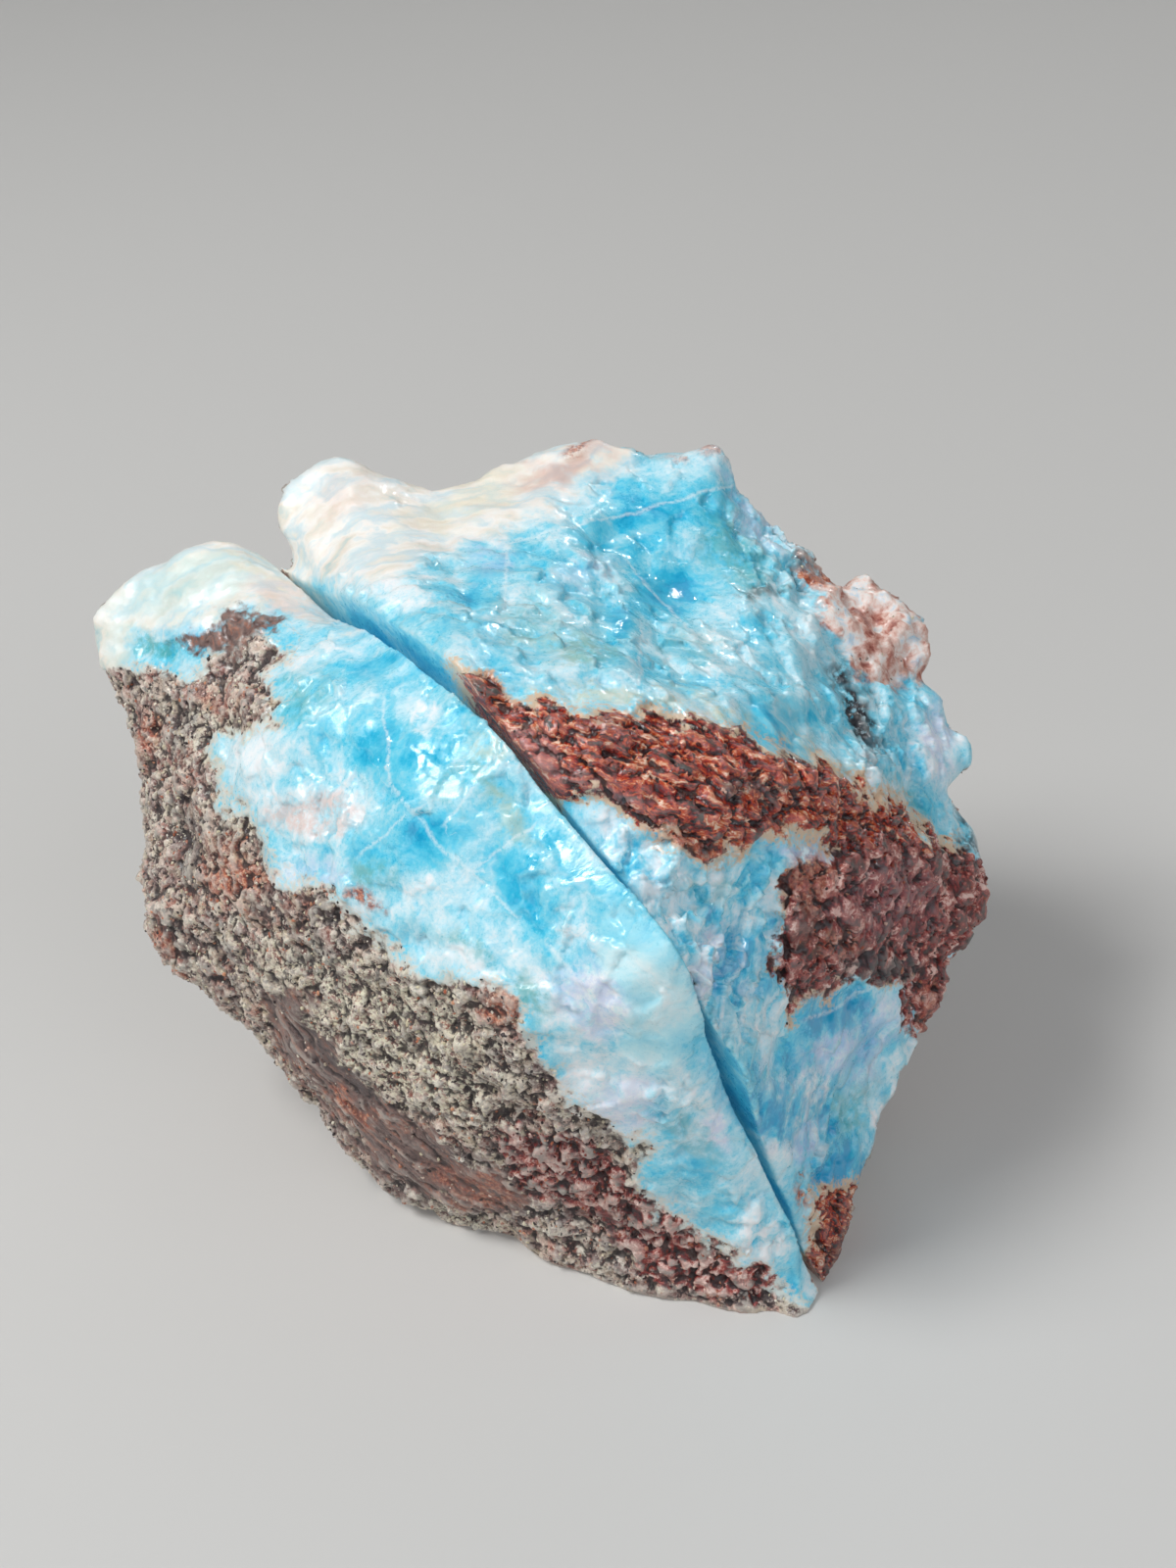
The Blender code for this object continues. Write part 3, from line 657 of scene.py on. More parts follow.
def relief_tree():
    """Geometry Nodes that break a skin up by its marks, and note how hollow it is."""
    tree, entry = open_tree("broken_stone", (
        ("Scar Relief", "Float"), ("Rind Relief", "Float"), ("Band Relief", "Float"),
        ("Hollow Rounds", "Int"),
    ))
    here = add(tree, "GeometryNodeInputPosition")
    place = add(tree, "VectorMath", {0: here, "Scale": 1.0 / MM}, operation="SCALE")
    bent = bent_place(tree, place)
    band = along_grain(tree, bent, BAND_TURN, (0.3, 1.0, 1.0))
    streak = along_grain(tree, bent, STREAK_TURN, (0.25, 1.0, 1.0))
    hang = along_grain(tree, bent, TORN_TURN, (0.3, 1.0, 1.0))

    # Bare pectolite is smooth, with leaning facets, and splintered along its fibres where torn
    deep = add(tree, "GeometryNodeInputNamedAttribute", {"Name": "deep"})
    torn = add(tree, "GeometryNodeInputNamedAttribute", {"Name": "torn"})
    splinters = total(tree, leaning_facets(tree, hang, 2.2, 1.8), leaning_facets(tree, bent, 2.4, 0.7))
    splinters = add(tree, "Math", {0: splinters, 1: torn}, operation="MULTIPLY")
    chips = total(tree, leaning_facets(tree, bent, 3.0, 0.45), swell(tree, bent, 0.8, 0.10))
    worn = add(tree, "Math", {0: deep, 1: -0.6, 2: 1.0}, operation="MULTIPLY_ADD")
    chips = add(tree, "Math", {0: chips, 1: worn}, operation="MULTIPLY")
    bare = total(tree, swell(tree, bent, 0.14, 0.45, 2.0), chips, splinters)
    bare = add(tree, "Math", {0: bare, 1: entry.outputs["Scar Relief"]}, operation="MULTIPLY")
    # Rind: lumps, crumbled grains and cracks
    rind = total(
        tree,
        swell(tree, place, 0.20, 1.3, 5.0),
        leaning_facets(tree, bent, 3.2, 0.30),
        leaning_facets(tree, place, 1.0, 0.42),
        crumbs(tree, bent, 1.0, 0.12),
        crevices(tree, bent, 0.35, 0.40),
        swell(tree, place, 1.3, 0.25),
    )
    rind = add(tree, "Math", {0: rind, 1: entry.outputs["Rind Relief"]}, operation="MULTIPLY")
    # Red rock: torn ledges and long cracks along the band
    red = total(
        tree,
        leaning_facets(tree, band, 1.5, 0.8),
        crevices(tree, band, 0.45, 0.7, 0.04),
        crumbs(tree, bent, 0.9, 0.22),
        swell(tree, place, 0.30, 0.7, 4.0),
        swell(tree, band, 1.1, 0.45, 5.0, 0.7),
    )
    red = add(tree, "Math", {0: red, 1: entry.outputs["Band Relief"]}, operation="MULTIPLY")
    lump = total(
        tree,
        crumbs(tree, bent, 1.2, 0.45),
        leaning_facets(tree, bent, 2.6, 0.6),
        swell(tree, place, 0.30, 0.9, 5.0),
        crevices(tree, bent, 0.32, 0.7, 0.04),
    )
    brown = total(tree, swell(tree, streak, 0.5, 0.5, 5.0), crevices(tree, streak, 0.5, 0.25))
    cream = total(tree, swell(tree, place, 0.22, 0.55, 3.0), swell(tree, bent, 1.1, 0.12))
    knobs = total(
        tree, crumbs(tree, bent, 3.6, 1.5), swell(tree, place, 0.5, 0.6), crumbs(tree, place, 1.3, 0.2)
    )

    height = bare
    for kind, over in (
        ("cream", cream), ("rind", rind), ("brown", brown), ("knobs", knobs), ("red", red), ("lump", lump),
    ):
        depth = add(tree, "GeometryNodeInputNamedAttribute", {"Name": kind})
        cover = add(
            tree,
            "MapRange",
            {"Value": depth, "From Min": -0.5, "From Max": 0.6},
            interpolation_type="SMOOTHSTEP",
        )
        height = add(tree, "Mix", {"Factor": cover, "A": height, "B": over})
    for name in ("sawn", "base"):
        flat = add(tree, "GeometryNodeInputNamedAttribute", {"Name": name})
        height = add(tree, "Mix", {"Factor": flat, "A": height, "B": 0.0})
    kept = add(
        tree,
        "GeometryNodeStoreNamedAttribute",
        {"Geometry": entry.outputs["Geometry"], "Name": "height", "Value": height},
    )
    normal = add(tree, "GeometryNodeInputNormal")
    in_metres = add(tree, "Math", {0: height, 1: MM}, operation="MULTIPLY")
    offset = add(tree, "VectorMath", {0: normal, "Scale": in_metres}, operation="SCALE")
    moved = add(tree, "GeometryNodeSetPosition", {"Geometry": kept, "Offset": offset})
    evened = add(
        tree,
        "GeometryNodeBlurAttribute",
        {"Value": place, "Iterations": entry.outputs["Hollow Rounds"]},
        data_type="FLOAT_VECTOR",
    )
    above = add(tree, "VectorMath", {0: evened, 1: place}, operation="SUBTRACT")
    hollow = add(tree, "VectorMath", {0: above, 1: normal}, operation="DOT_PRODUCT")
    noted = add(
        tree, "GeometryNodeStoreNamedAttribute", {"Geometry": moved, "Name": "hollow", "Value": hollow}
    )
    return close_tree(tree, entry, noted)


def grains_tree():
    """Geometry Nodes that strew small angular grains over the rind and the red rock."""
    tree, entry = open_tree("crust_grains", (
        ("Density", "Float"), ("Smallest", "Float"), ("Largest", "Float"), ("Seed", "Int"),
    ))
    cover = add(tree, "GeometryNodeInputNamedAttribute", {"Name": "grainy"})
    density = add(tree, "Math", {0: cover, 1: entry.outputs["Density"]}, operation="MULTIPLY")
    strewn = add(
        tree,
        "GeometryNodeDistributePointsOnFaces",
        {"Mesh": entry.outputs["Geometry"], "Density": density, "Seed": entry.outputs["Seed"]},
    )
    radius = add(
        tree,
        "FunctionNodeRandomValue",
        {"Min": entry.outputs["Smallest"], "Max": entry.outputs["Largest"], "Seed": 3},
    )
    shape = add(
        tree,
        "FunctionNodeRandomValue",
        {"Min": (0.55, 0.55, 0.45), "Max": (1.3, 1.0, 0.9), "Seed": 5},
        data_type="FLOAT_VECTOR",
    )
    size = add(tree, "VectorMath", {0: shape, "Scale": radius}, operation="SCALE")
    turn = add(
        tree,
        "FunctionNodeRandomValue",
        {"Min": (0.0, 0.0, 0.0), "Max": (2.0 * math.pi,) * 3, "Seed": 7},
        data_type="FLOAT_VECTOR",
    )
    sink = add(tree, "Math", {0: radius, 1: -GRAIN_SUNK}, operation="MULTIPLY")
    offset = add(tree, "VectorMath", {0: strewn.outputs["Normal"], "Scale": sink}, operation="SCALE")
    sunk = add(tree, "GeometryNodeSetPosition", {"Geometry": strewn, "Offset": offset})
    stones = add(
        tree,
        "GeometryNodeInstanceOnPoints",
        {
            "Points": sunk,
            "Instance": add(tree, "GeometryNodeMeshIcoSphere", {"Radius": 1.0, "Subdivisions": 1}),
            "Rotation": turn,
            "Scale": size,
        },
    )
    tint = add(tree, "FunctionNodeRandomValue", {"Min": 0.0, "Max": 1.0, "Seed": 11})
    tinted = add(
        tree,
        "GeometryNodeStoreNamedAttribute",
        {"Geometry": stones, "Name": "tint", "Value": tint},
        domain="INSTANCE",
    )
    return close_tree(tree, entry, tinted)


def with_nodes(piece, tree, values):
    """Runs Geometry Nodes on a piece, with their inputs set by the sockets' names."""
    modifier = piece.modifiers.new(tree.name, "NODES")
    modifier.node_group = tree
    for item in tree.interface.items_tree:
        if item.item_type == "SOCKET" and item.in_out == "INPUT" and item.name in values:
            modifier[item.identifier] = values[item.name]
    finished(piece)


def roughen(piece, tree, stone, scars):
    """Breaks the skin up, and thins it where it stayed flat."""
    with_nodes(
        piece,
        tree,
        {
            "Scar Relief": scars,
            "Rind Relief": 1.0,
            "Band Relief": 1.0,
            "Hollow Rounds": HOLLOW_ROUNDS,
            "Stone": stone,
        },
    )
    piece.data.calc_loop_triangles()
    thinning = piece.modifiers.new("thinning", "DECIMATE")
    thinning.ratio = min(1.0, MOST_TRIANGLES / len(piece.data.loop_triangles))
    finished(piece)
    piece.data.shade_smooth()


def strew_grains(stone_piece, name, seed, tree, material):
    """Grains in a piece of their own, on the rind and the red rock of a half."""
    mesh = stone_piece.data.copy()
    piece = new_piece(name, mesh)
    cover = np.zeros(len(mesh.vertices))
    for kind, share in (("rind", 1.0), ("red", 0.10), ("lump", 0.30), ("knobs", 0.06)):
        cover = np.maximum(cover, share * smooth_step(stored(mesh, kind) + 0.1, 0.5))
    for kind in ("brown", "cream"):
        cover *= 1.0 - 0.85 * smooth_step(stored(mesh, kind), 0.5)
    for flat in ("sawn", "base"):
        cover *= 1.0 - np.clip(stored(mesh, flat) * 4.0, 0.0, 1.0)
    store(mesh, "grainy", cover)
    areas = np.zeros(len(mesh.polygons), np.float32)
    mesh.polygons.foreach_get("area", areas)
    corners = np.empty(len(mesh.loops), np.int32)
    mesh.loops.foreach_get("vertex_index", corners)
    sides = np.empty(len(mesh.polygons), np.int32)
    mesh.polygons.foreach_get("loop_total", sides)
    covered = np.add.reduceat(cover[corners], np.cumsum(sides) - sides) / sides
    with_nodes(
        piece,
        tree,
        {
            "Density": GRAINS / float((areas * covered).sum()),
            "Smallest": GRAIN_RADIUS[0] * MM,
            "Largest": GRAIN_RADIUS[1] * MM,
            "Seed": seed,
            "Stone": material,
        },
    )
    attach(piece, "root")


def patch_cover(tree, kind, breakup, softness, beyond=0.0):
    """How much a kind covers, its border broken up by fine noise and moved out by this."""
    depth = add(tree, "Attribute", attribute_name=kind)
    ragged = add(tree, "Math", {0: breakup, 1: 3.0, 2: depth.outputs["Fac"]}, operation="MULTIPLY_ADD")
    return add(
        tree,
        "MapRange",
        {"Value": ragged, "From Min": 1.5 - beyond - softness, "From Max": 1.5 - beyond + softness},
        interpolation_type="SMOOTHSTEP",
    )


def open_material(name):
    """A material with an empty tree."""
    material = bpy.data.materials.new(name)
    material.use_nodes = True
    material.node_tree.nodes.clear()
    return material, material.node_tree


def swing(tree, value, strength):
    """How far a value from 0 to 1 lies above or below its middle, times this strength."""
    off = add(tree, "Math", {0: value, 1: -0.5}, operation="ADD")
    return add(tree, "Math", {0: off, 1: strength}, operation="MULTIPLY")


def overlaid(tree, base, cover, strength, over):
    """The base colour, with another over it as far as it covers times this strength."""
    amount = add(tree, "Math", {0: cover, 1: strength}, operation="MULTIPLY", use_clamp=True)
    return add(tree, "Mix", {"Factor": amount, "A": base, "B": over}, data_type="RGBA")


def stone_material():
    """Larimar in its basalt rind, wetted so that it looks polished where it broke clean.

    Pectolite gives clouded sky blue and white with silky fibres and a little glow; the
    altered basalt gives a dull grain of cream, grey, black and rust; the red rock is
    iron stained, streaky and glossy where it is wet.
    """
    material, tree = open_material("larimar_in_basalt_rind")
    where = add(tree, "TexCoord").outputs["Object"]
    place = add(tree, "VectorMath", {0: where, "Scale": 1.0 / MM}, operation="SCALE")
    bent = bent_place(tree, place)
    fibre = along_grain(tree, bent, FIBRE_TURN, (0.16, 1.0, 1.0))
    band = along_grain(tree, bent, BAND_TURN, (0.28, 1.0, 1.0))
    streak = along_grain(tree, bent, STREAK_TURN, (0.18, 1.0, 1.0))
    cap = along_grain(tree, bent, CAP_TURN, (0.3, 1.0, 1.0))
    mark = {
        name: add(tree, "Attribute", attribute_name=name).outputs["Fac"]
        for name in SPOT_MARK_NAMES + ("height", "hollow", "sawn", "vein_side", "vein_near")
    }
    breakup = add(tree, "TexNoise", {"Vector": place, "Scale": 0.8, "Detail": 4.0, "Roughness": 0.7})
    cover = {
        kind: patch_cover(tree, kind, breakup, softness) for kind, softness in BORDER_SOFTNESS.items()
    }
    # How far the pale facets cover the blue; their paleness is partly a painted highlight
    cover["pale"] = add(tree, "Math", {0: cover["pale"], 1: 0.80}, operation="MULTIPLY")
    fine = add(tree, "TexNoise", {"Vector": place, "Scale": 2.6, "Detail": 3.0, "Roughness": 0.7})

    # Pectolite: clouds about 7 mm across, silky fibres 0.3 mm wide and chips of fibre bundles
    clouds = add(
        tree,
        "TexNoise",
        {"Vector": bent, "Scale": 0.15, "Detail": 6.0, "Roughness": 0.62, "Distortion": 0.5},
    )
    fibres = add(tree, "TexNoise", {"Vector": fibre, "Scale": 1.6, "Detail": 3.0, "Roughness": 0.65})
    bundles = add(tree, "TexVoronoi", {"Vector": fibre, "Scale": 0.7})
    bundle = add(tree, "SeparateColor", {0: bundles.outputs["Color"]})
    busy = add(tree, "Math", {0: mark["deep"], 1: -0.7, 2: 1.0}, operation="MULTIPLY_ADD")
    threads = swing(tree, fibres, busy)
    chips = add(tree, "TexVoronoi", {"Vector": bent, "Scale": 0.62})
    chip = add(tree, "SeparateColor", {0: chips.outputs["Color"]})
    milky = add(tree, "Math", {0: mark["milk"], 1: 0.35}, operation="ADD")
    chip = swing(tree, chip, milky)
    sugar = swing(tree, fine, busy)
    hang = along_grain(tree, bent, TORN_TURN, (0.2, 1.0, 1.0))
    strands = add(tree, "TexNoise", {"Vector": hang, "Scale": 0.9, "Detail": 3.0, "Roughness": 0.6})
    hung = add(tree, "Math", {0: mark["torn"], 1: mark["sky_shade"]}, operation="MAXIMUM")
    strands = swing(tree, strands, hung)
    flakes = swing(tree, clouds, mark["sky_shade"])
    tone = add(tree, "Math", {0: clouds, 1: 1.25, 2: -0.13}, operation="MULTIPLY_ADD")
    # The deep mark darkens the blue: the stone's deep turquoise, and painted shade where its spots lie in
    # recesses and on the lower right face
    for part, factor in (
        (threads, 0.40), (bundle, 0.07), (chip, 0.20), (sugar, 0.40), (strands, 1.1), (flakes, 2.2),
        # The sawn faces are painted a deeper blue, standing in for the teal light seen in the narrow gap
        # between the halves
        (mark["deep"], -0.27), (mark["milk"], 0.28), (mark["sawn"], -0.10),
    ):
        tone = add(tree, "Math", {0: part, 1: factor, 2: tone}, operation="MULTIPLY_ADD")
    blue = add(
        tree,
        "ValToRGB",
        {0: tone},
        stops=(
            (0.14, "#12A2CE"), (0.27, "#33BCE0"), (0.38, "#60CEE9"), (0.50, "#8AD8EB"),
            (0.62, "#B4E5F2"), (0.76, "#DAF0F6"), (0.92, "#F2F7F9"),
        ),
    )
    # The first tint here is painted shade, a deeper blue on the lower faces as if lit by the sky alone;
    # the others are the stone's own colours
    for name, code, strength in (
        ("sky_shade", "#3F97CC", 0.45), ("teal", "#5AA9A4", 0.75), ("lavender", "#C3CEF0", 0.65),
        ("pink", "#E0BBAE", 0.7), ("straw", "#D6CB9E", 0.6),
    ):
        broken = add(
            tree, "MapRange", {"Value": breakup, "From Min": 0.36, "From Max": 0.56, "To Max": strength}
        )
        blue = overlaid(tree, blue, broken, mark[name], colour(code))
    webs = add(tree, "TexVoronoi", {"Vector": bent, "Scale": 0.13}, feature="DISTANCE_TO_EDGE")
    web = add(tree, "MapRange", {"Value": webs, "From Max": 0.05, "To Min": 0.25, "To Max": 0.0})
    seldom = add(tree, "MapRange", {"Value": clouds, "From Min": 0.46, "From Max": 0.56})
    web = add(tree, "Math", {0: web, 1: seldom}, operation="MULTIPLY")
    swerve = add(tree, "Math", {0: breakup, 1: 0.25, 2: -0.12}, operation="MULTIPLY_ADD")
    off_vein = add(tree, "Math", {0: mark["vein_side"], 1: swerve}, operation="ADD")
    off_vein = add(tree, "Math", {0: off_vein}, operation="ABSOLUTE")
    vein = add(
        tree,
        "MapRange",
        {"Value": off_vein, "From Min": 0.03, "From Max": 0.24, "To Min": 0.45, "To Max": 0.0},
    )
    gaps = add(tree, "MapRange", {"Value": fine, "From Min": 0.34, "From Max": 0.50})
    for part, operation in ((mark["vein_near"], "MULTIPLY"), (gaps, "MULTIPLY"), (web, "MAXIMUM")):
        vein = add(tree, "Math", {0: vein, 1: part}, operation=operation)
    blue = add(tree, "Mix", {"Factor": vein, "A": blue, "B": colour("#F2F8F8")}, data_type="RGBA")

    # A stained fringe runs along the rind and the red rock
    for kind, code, strength in (("rind", "#DDD3C2", 0.75), ("red", "#DDB68C", 0.85)):
        fringe = patch_cover(tree, kind, fine, 0.45, 0.65)
        blue = overlaid(tree, blue, fringe, strength, colour(code))

    # Facets near the rim that broke clean: pale and even partly by their own colour and partly by a
    # painted highlight, as faces turned to the window light
    pale = add(
        tree, "ValToRGB", {0: clouds}, stops=((0.35, "#93E0F2"), (0.52, "#C2F0F8"), (0.66, "#EAFAFB"))
    )
    # Weathered edge: cream, mint and white in wavy bands about 1.5 mm wide
    bands = add(tree, "TexNoise", {"Vector": cap, "Scale": 0.3, "Detail": 5.0, "Roughness": 0.5})
    cream = add(
        tree,
        "ValToRGB",
        {0: bands},
        stops=(
            (0.32, "#BAD4D4"), (0.42, "#EEE6D8"), (0.50, "#F8F5EE"), (0.58, "#D3E5E9"),
            (0.68, "#F3EEE2"),
        ),
    )
    for name, code, strength in (
        ("mint", "#B4DCDA", 0.45), ("pink", "#CFA08E", 0.7), ("straw", "#E9DDB8", 0.6),
    ):
        cream = overlaid(tree, cream, mark[name], strength, colour(code))

    # Basalt rind: a ground that changes every 5 mm, with grains of 0.5 to 1 mm in it
    realm = add(tree, "TexNoise", {"Vector": bent, "Scale": 0.2, "Detail": 4.0})
    warm = add(
        tree, "ValToRGB", {0: fine}, stops=((0.34, "#3C211D"), (0.48, "#9C7466"), (0.62, "#E8CDBC"))
    )
    cool = add(
        tree, "ValToRGB", {0: fine}, stops=((0.34, "#332424"), (0.48, "#97857F"), (0.62, "#E6E0D8"))
    )
    pick = add(tree, "MapRange", {"Value": realm, "From Min": 0.44, "From Max": 0.58})
    rind = add(tree, "Mix", {"Factor": pick, "A": cool, "B": warm}, data_type="RGBA")
    ragged = add(
        tree,
        "VectorMath",
        {0: fine.outputs["Color"], 1: (1.5, 1.5, 1.5), 2: bent},
        operation="MULTIPLY_ADD",
    )
    cells = add(tree, "TexVoronoi", {"Vector": ragged, "Scale": 1.0})
    cell = add(tree, "SeparateColor", {0: cells.outputs["Color"]})
    grain = add(
        tree,
        "ValToRGB",
        {0: cell},
        stops=(
            (0.0, "#2A1416"), (0.16, "#5C302C"), (0.30, "#8C6C64"), (0.44, "#D3C5A6"),
            (0.62, "#E9E2CE"), (0.78, "#D9BBAA"), (0.88, "#AE5C42"), (1.0, "#6B2C25"),
        ),
    )
    rind = add(tree, "Mix", {"Factor": 0.6, "A": rind, "B": grain}, data_type="RGBA")
    flecks = add(tree, "MapRange", {"Value": fine, "From Min": 0.45, "From Max": 0.54, "To Max": 0.85})
    rind = overlaid(tree, rind, flecks, mark["speckle"], colour("#E6E1C6"))
    pepper = add(tree, "TexNoise", {"Vector": place, "Scale": 1.5, "Detail": 3.0, "Roughness": 0.6})
    dots = add(tree, "MapRange", {"Value": pepper, "From Min": 0.45, "From Max": 0.40, "To Max": 0.85})
    rind = add(tree, "Mix", {"Factor": dots, "A": rind, "B": colour("#281719")}, data_type="RGBA")
    blots = add(tree, "TexNoise", {"Vector": bent, "Scale": 0.28, "Detail": 5.0, "Roughness": 0.65})
    blots = add(tree, "MapRange", {"Value": blots, "From Min": 0.47, "From Max": 0.38, "To Max": 0.6})
    rind = add(tree, "Mix", {"Factor": blots, "A": rind, "B": colour("#3A2A2C")}, data_type="RGBA")
    # Slick streak of clay in the rind
    slick = add(tree, "TexNoise", {"Vector": streak, "Scale": 1.3, "Detail": 4.0, "Roughness": 0.7})
    brown = add(
        tree,
        "ValToRGB",
        {0: slick},
        stops=(
            (0.32, "#3F2C2A"), (0.43, "#66504B"), (0.53, "#7F6760"), (0.61, "#94604C"),
            (0.72, "#B89C8E"),
        ),
    )
    # Red rock: streaks of maroon, orange and pink, dark in its cracks
    torn = add(tree, "TexNoise", {"Vector": band, "Scale": 1.5, "Detail": 4.0, "Roughness": 0.72})
    red = add(
        tree,
        "ValToRGB",
        {0: torn},
        stops=(
            (0.38, "#120304"), (0.44, "#560C0A"), (0.49, "#991C10"), (0.53, "#BC3F16"),
            (0.58, "#CF7440"), (0.64, "#EFCDB4"),
        ),
    )
    red = overlaid(tree, red, mark["pink"], 0.6, colour("#C68C88"))
    flesh = add(tree, "TexNoise", {"Vector": bent, "Scale": 0.7, "Detail": 5.0, "Roughness": 0.72})
    flesh = add(tree, "Math", {0: cell, 1: 0.12, 2: flesh}, operation="MULTIPLY_ADD")
    lump = add(
        tree,
        "ValToRGB",
        {0: flesh},
        stops=(
            (0.44, "#190507"), (0.50, "#5A0F11"), (0.56, "#881E1A"), (0.61, "#A9483A"), (0.68, "#E6BEB2"),
        ),
    )
    lump = overlaid(tree, lump, mark["pink"], 0.25, colour("#A0707A"))
    nub = add(tree, "TexNoise", {"Vector": bent, "Scale": 0.4, "Detail": 5.0, "Roughness": 0.65})
    knobs = add(
        tree,
        "ValToRGB",
        {0: nub},
        stops=(
            (0.34, "#86382C"), (0.42, "#C08474"), (0.49, "#DFBFB2"), (0.56, "#EBE3DD"),
            (0.66, "#BAD3E2"),
        ),
    )

    body = blue
    for kind, over in (
        ("pale", pale), ("cream", cream), ("rind", rind), ("brown", brown), ("knobs", knobs),
        ("red", red), ("lump", lump),
    ):
        body = add(tree, "Mix", {"Factor": cover[kind], "A": body, "B": over}, data_type="RGBA")
    rust = add(
        tree,
        "ValToRGB",
        {0: fine},
        stops=((0.34, "#551C13"), (0.46, "#A0462A"), (0.55, "#C57450"), (0.66, "#E0AE90")),
    )
    # Rust, and dark grey that is partly dark mineral and partly a painted shadow under a ledge
    for name, over, strength in (("rust", rust, 0.95), ("coal_and_shadow", colour("#272A30"), 0.85)):
        broken = add(
            tree, "MapRange", {"Value": breakup, "From Min": 0.37, "From Max": 0.49, "To Max": strength}
        )
        body = overlaid(tree, body, broken, mark[name], over)

    # Painted shade: the hollows of the rough rock are darkened, standing in for the shade that falls in
    # them, and its crests are made paler
    rough_rock = add(tree, "Math", {0: cover["rind"], 1: cover["red"]}, operation="MAXIMUM")
    rough_rock = add(tree, "Math", {0: rough_rock, 1: cover["lump"]}, operation="MAXIMUM")
    low = add(
        tree, "MapRange", {"Value": mark["hollow"], "From Min": 0.02, "From Max": 0.15, "To Max": 0.88}
    )
    body = overlaid(tree, body, low, rough_rock, colour("#24181B"))
    pale_crests = add(tree, "Math", {0: cover["rind"], 1: 0.3, 2: 0.1}, operation="MULTIPLY_ADD")
    high = add(tree, "MapRange", {"Value": mark["hollow"], "From Min": -0.04, "From Max": -0.22})
    body = overlaid(tree, body, high, pale_crests, colour("#EDE5D8"))

    # Gloss: clean pectolite is slick, the rind dull, the red rock wet
    rough = add(tree, "Math", {0: mark["deep"], 1: -0.26, 2: 0.34}, operation="MULTIPLY_ADD")
    for kind, value in (("cream", 0.42), ("rind", 0.60), ("brown", 0.42), ("red", 0.12), ("lump", 0.36)):
        rough = add(tree, "Mix", {"Factor": cover[kind], "A": rough, "B": value})
    rough = add(
        tree,
        "Math",
        {0: fine, 1: 0.5, 2: add(tree, "Math", {0: rough, 1: 0.25}, operation="SUBTRACT")},
        operation="MULTIPLY_ADD",
        use_clamp=True,
    )
    silk = add(tree, "Mix", {"Factor": rough_rock, "A": fibres, "B": fine})
    silk = add(tree, "Mix", {"Factor": cover["red"], "A": silk, "B": torn})
    bump = add(
        tree,
        "Bump",
        {
            "Height": silk,
            "Strength": add(tree, "Math", {0: rough_rock, 1: 0.55, 2: 0.18}, operation="MULTIPLY_ADD"),
            "Distance": 0.3 * MM,
        },
    )
    shader = add(
        tree,
        "BsdfPrincipled",
        {
            "Base Color": body,
            "Roughness": rough,
            "Normal": bump,
            "IOR": 1.6,
            "Subsurface Weight": 0.18,
            "Subsurface Radius": (0.6, 1.0, 1.0),
            "Subsurface Scale": 1.6 * MM,
            "Coat Weight": 0.22,
            "Coat Roughness": 0.06,
        },
    )
    leave = add(tree, "OutputMaterial")
    tree.links.new(shader.outputs[0], leave.inputs["Surface"])
    return material


def grains_material():
    """Loose mineral grains of the crust: feldspar, dark augite, rust and a little quartz.

    They broke off angular and were never polished, so they look dry, and each is of one colour.
    """
    material, tree = open_material("crust_mineral_grains")
    tint = add(tree, "Attribute", attribute_name="tint").outputs["Fac"]
    plain = add(
        tree,
        "ValToRGB",
        {0: tint},
        stops=(
            (0.0, "#231B1D"), (0.22, "#3D3030"), (0.34, "#7C6B63"), (0.50, "#A89988"),
            (0.64, "#CFC5A6"), (0.80, "#E6E0D0"), (0.90, "#A2563A"), (1.0, "#C98F6C"),
        ),
    )
    ruddy = add(
        tree,
        "ValToRGB",
        {0: tint},
        stops=(
            (0.0, "#220F0F"), (0.30, "#4C1C17"), (0.55, "#7C3225"), (0.72, "#A35536"),
            (0.86, "#C08A72"), (1.0, "#DCC8BB"),
        ),
    )
    reds = [add(tree, "Attribute", attribute_name=kind).outputs["Fac"] for kind in ("red", "lump")]
    redder = add(tree, "Math", {0: reds[0], 1: reds[1]}, operation="MAXIMUM")
    amount = add(tree, "MapRange", {"Value": redder, "From Min": -0.3, "From Max": 0.3})
    body = add(tree, "Mix", {"Factor": amount, "A": plain, "B": ruddy}, data_type="RGBA")
    where = add(tree, "TexCoord").outputs["Object"]
    fine = add(tree, "TexNoise", {"Vector": where, "Scale": 3.0 / MM, "Detail": 2.0})
    rough = add(tree, "MapRange", {"Value": fine, "To Min": 0.2, "To Max": 0.75})
    bump = add(tree, "Bump", {"Height": fine, "Strength": 0.4, "Distance": 0.15 * MM})
    shader = add(
        tree, "BsdfPrincipled", {"Base Color": body, "Roughness": rough, "Normal": bump, "IOR": 1.55}
    )
    leave = add(tree, "OutputMaterial")
    tree.links.new(shader.outputs[0], leave.inputs["Surface"])
    return material


def dress_half(node, patches, spots, veins, side, seed, trees, materials):
    """Replaces a half's solid by its broken stone, with grains on it."""
    relief, grains = trees
    stone, minerals = materials
    outward = np.array(saw_normal()) * side
    piece = skin_of(node, node + "_stone")
    paint_marks(piece, patches, spots, veins, outward, side > 0)
    roughen(piece, relief, stone, SCARS[node])
    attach(piece, "root")
    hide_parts(node)
    strew_grains(piece, node + "_grains", seed, grains, minerals)


def plain_material(name, code, roughness):
    material = bpy.data.materials.new(name)
    material.use_nodes = True
    shader = material.node_tree.nodes["Principled BSDF"]
    shader.inputs["Base Color"].default_value = colour(code)
    shader.inputs["Roughness"].default_value = roughness
    return material


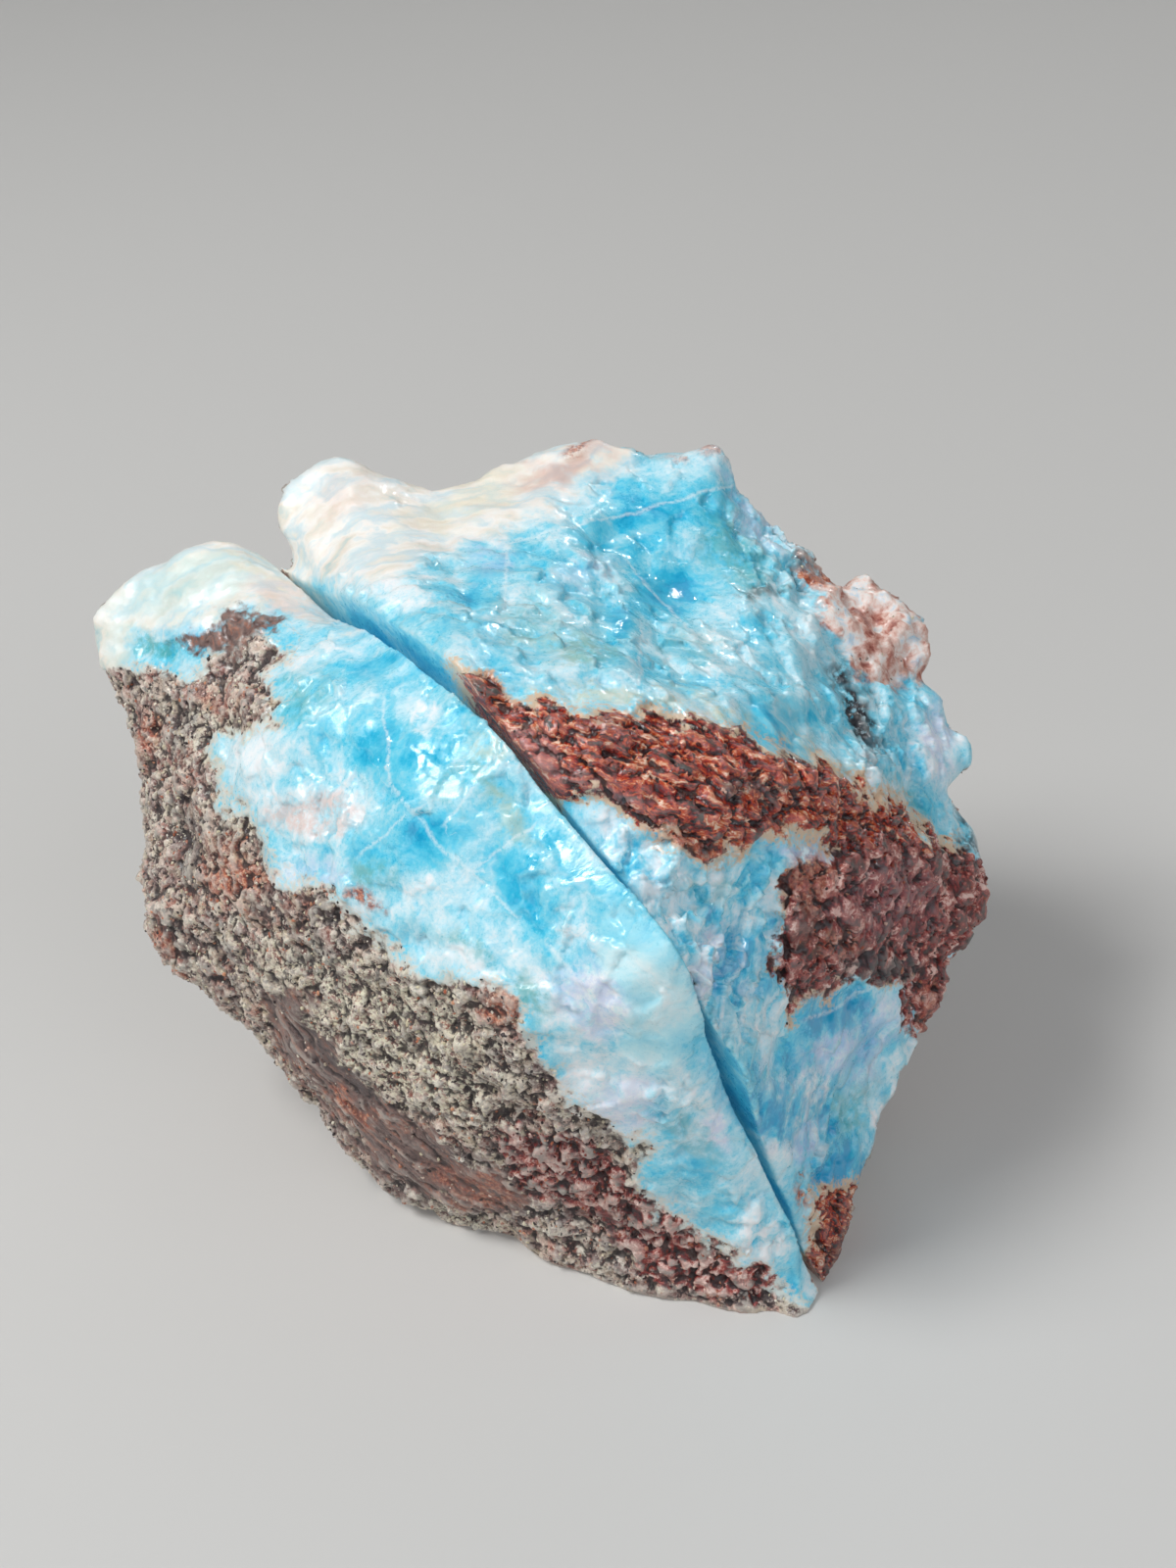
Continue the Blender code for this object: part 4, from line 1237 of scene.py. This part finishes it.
def make_floor():
    """A plain pale floor that curves up into a backdrop."""
    span, back, bend, rise = 2.5, 0.9, 0.3, 1.4
    profile = [(-span, 0.0), (back - bend, 0.0)]
    profile += [
        (back - bend + bend * math.sin(turn), bend - bend * math.cos(turn))
        for turn in np.linspace(0.1, math.pi / 2, 12)
    ]
    profile.append((back, rise))
    floor = bmesh.new()
    rows = [[floor.verts.new((x, y, z)) for x in (-span, span)] for y, z in profile]
    for low, high in zip(rows, rows[1:]):
        floor.faces.new((low[0], low[1], high[1], high[0]))
    mesh = bpy.data.meshes.new("floor")
    floor.to_mesh(mesh)
    floor.free()
    mesh.shade_smooth()
    mesh.materials.append(plain_material("pale_paper", "#CBCAC7", 0.8))
    new_piece("floor", mesh)


def make_light(name, place, size, watts, tint="#FFFFFF", shadow=True):
    """A square soft light aimed at the stone."""
    lamp = bpy.data.lights.new(name, "AREA")
    lamp.size = size
    lamp.energy = watts
    lamp.color = colour(tint)[:3]
    lamp.use_shadow = shadow
    light = bpy.data.objects.new(name, lamp)
    light.location = place
    aim = Vector((0.0, 0.0, 0.03)) - light.location
    light.rotation_euler = aim.to_track_quat("-Z", "Y").to_euler()
    bpy.context.scene.collection.objects.link(light)


def make_studio():
    make_floor()
    make_light("window", (-0.50, -0.20, 0.70), 0.32, 5.6)
    make_light("lamp", (0.34, -0.31, 0.69), 0.03, 0.6, shadow=False)
    make_light("spark", (0.29, 0.60, 0.54), 0.04, 0.6, shadow=False)
    make_light("sky", (0.15, 0.75, 0.85), 0.6, 0.6, "#F8FAFF")
    make_light("side", (0.50, -0.55, 0.50), 0.8, 2.1, "#F2F6FF")
    make_light("front", (-0.35, -0.90, 0.26), 0.7, 1.4, "#F4F7FF")
    world = bpy.data.worlds.new("room")
    bpy.context.scene.world = world
    world.use_nodes = True
    world.node_tree.nodes["Background"].inputs[0].default_value = colour("#D8DADC")
    world.node_tree.nodes["Background"].inputs[1].default_value = 0.16
    bpy.context.scene.view_settings.view_transform = "Standard"


def make_camera():
    """The camera stands at the eye that the nodule was laid out from."""
    data = bpy.data.cameras.new("eye")
    data.sensor_width = LONG_SENSOR
    data.lens = LONG_SENSOR * REACH / (MM_PER_PIXEL * MM) / VIEW_SIZE[1]
    data.clip_start = 0.01
    data.clip_end = 10.0
    camera = bpy.data.objects.new("eye", data)
    camera.location = EYE
    camera.rotation_euler = (math.pi / 2 - PITCH, 0.0, 0.0)
    bpy.context.scene.collection.objects.link(camera)
    bpy.context.scene.camera = camera


def main():
    make_camera()
    make_studio()
    trees = relief_tree(), grains_tree()
    materials = stone_material(), grains_material()
    dress_half("front_half", FRONT_PATCHES, FRONT_SPOTS, FRONT_VEINS, 1, 17, trees, materials)
    dress_half("back_half", BACK_PATCHES, BACK_SPOTS, BACK_VEINS, -1, 29, trees, materials)


main()
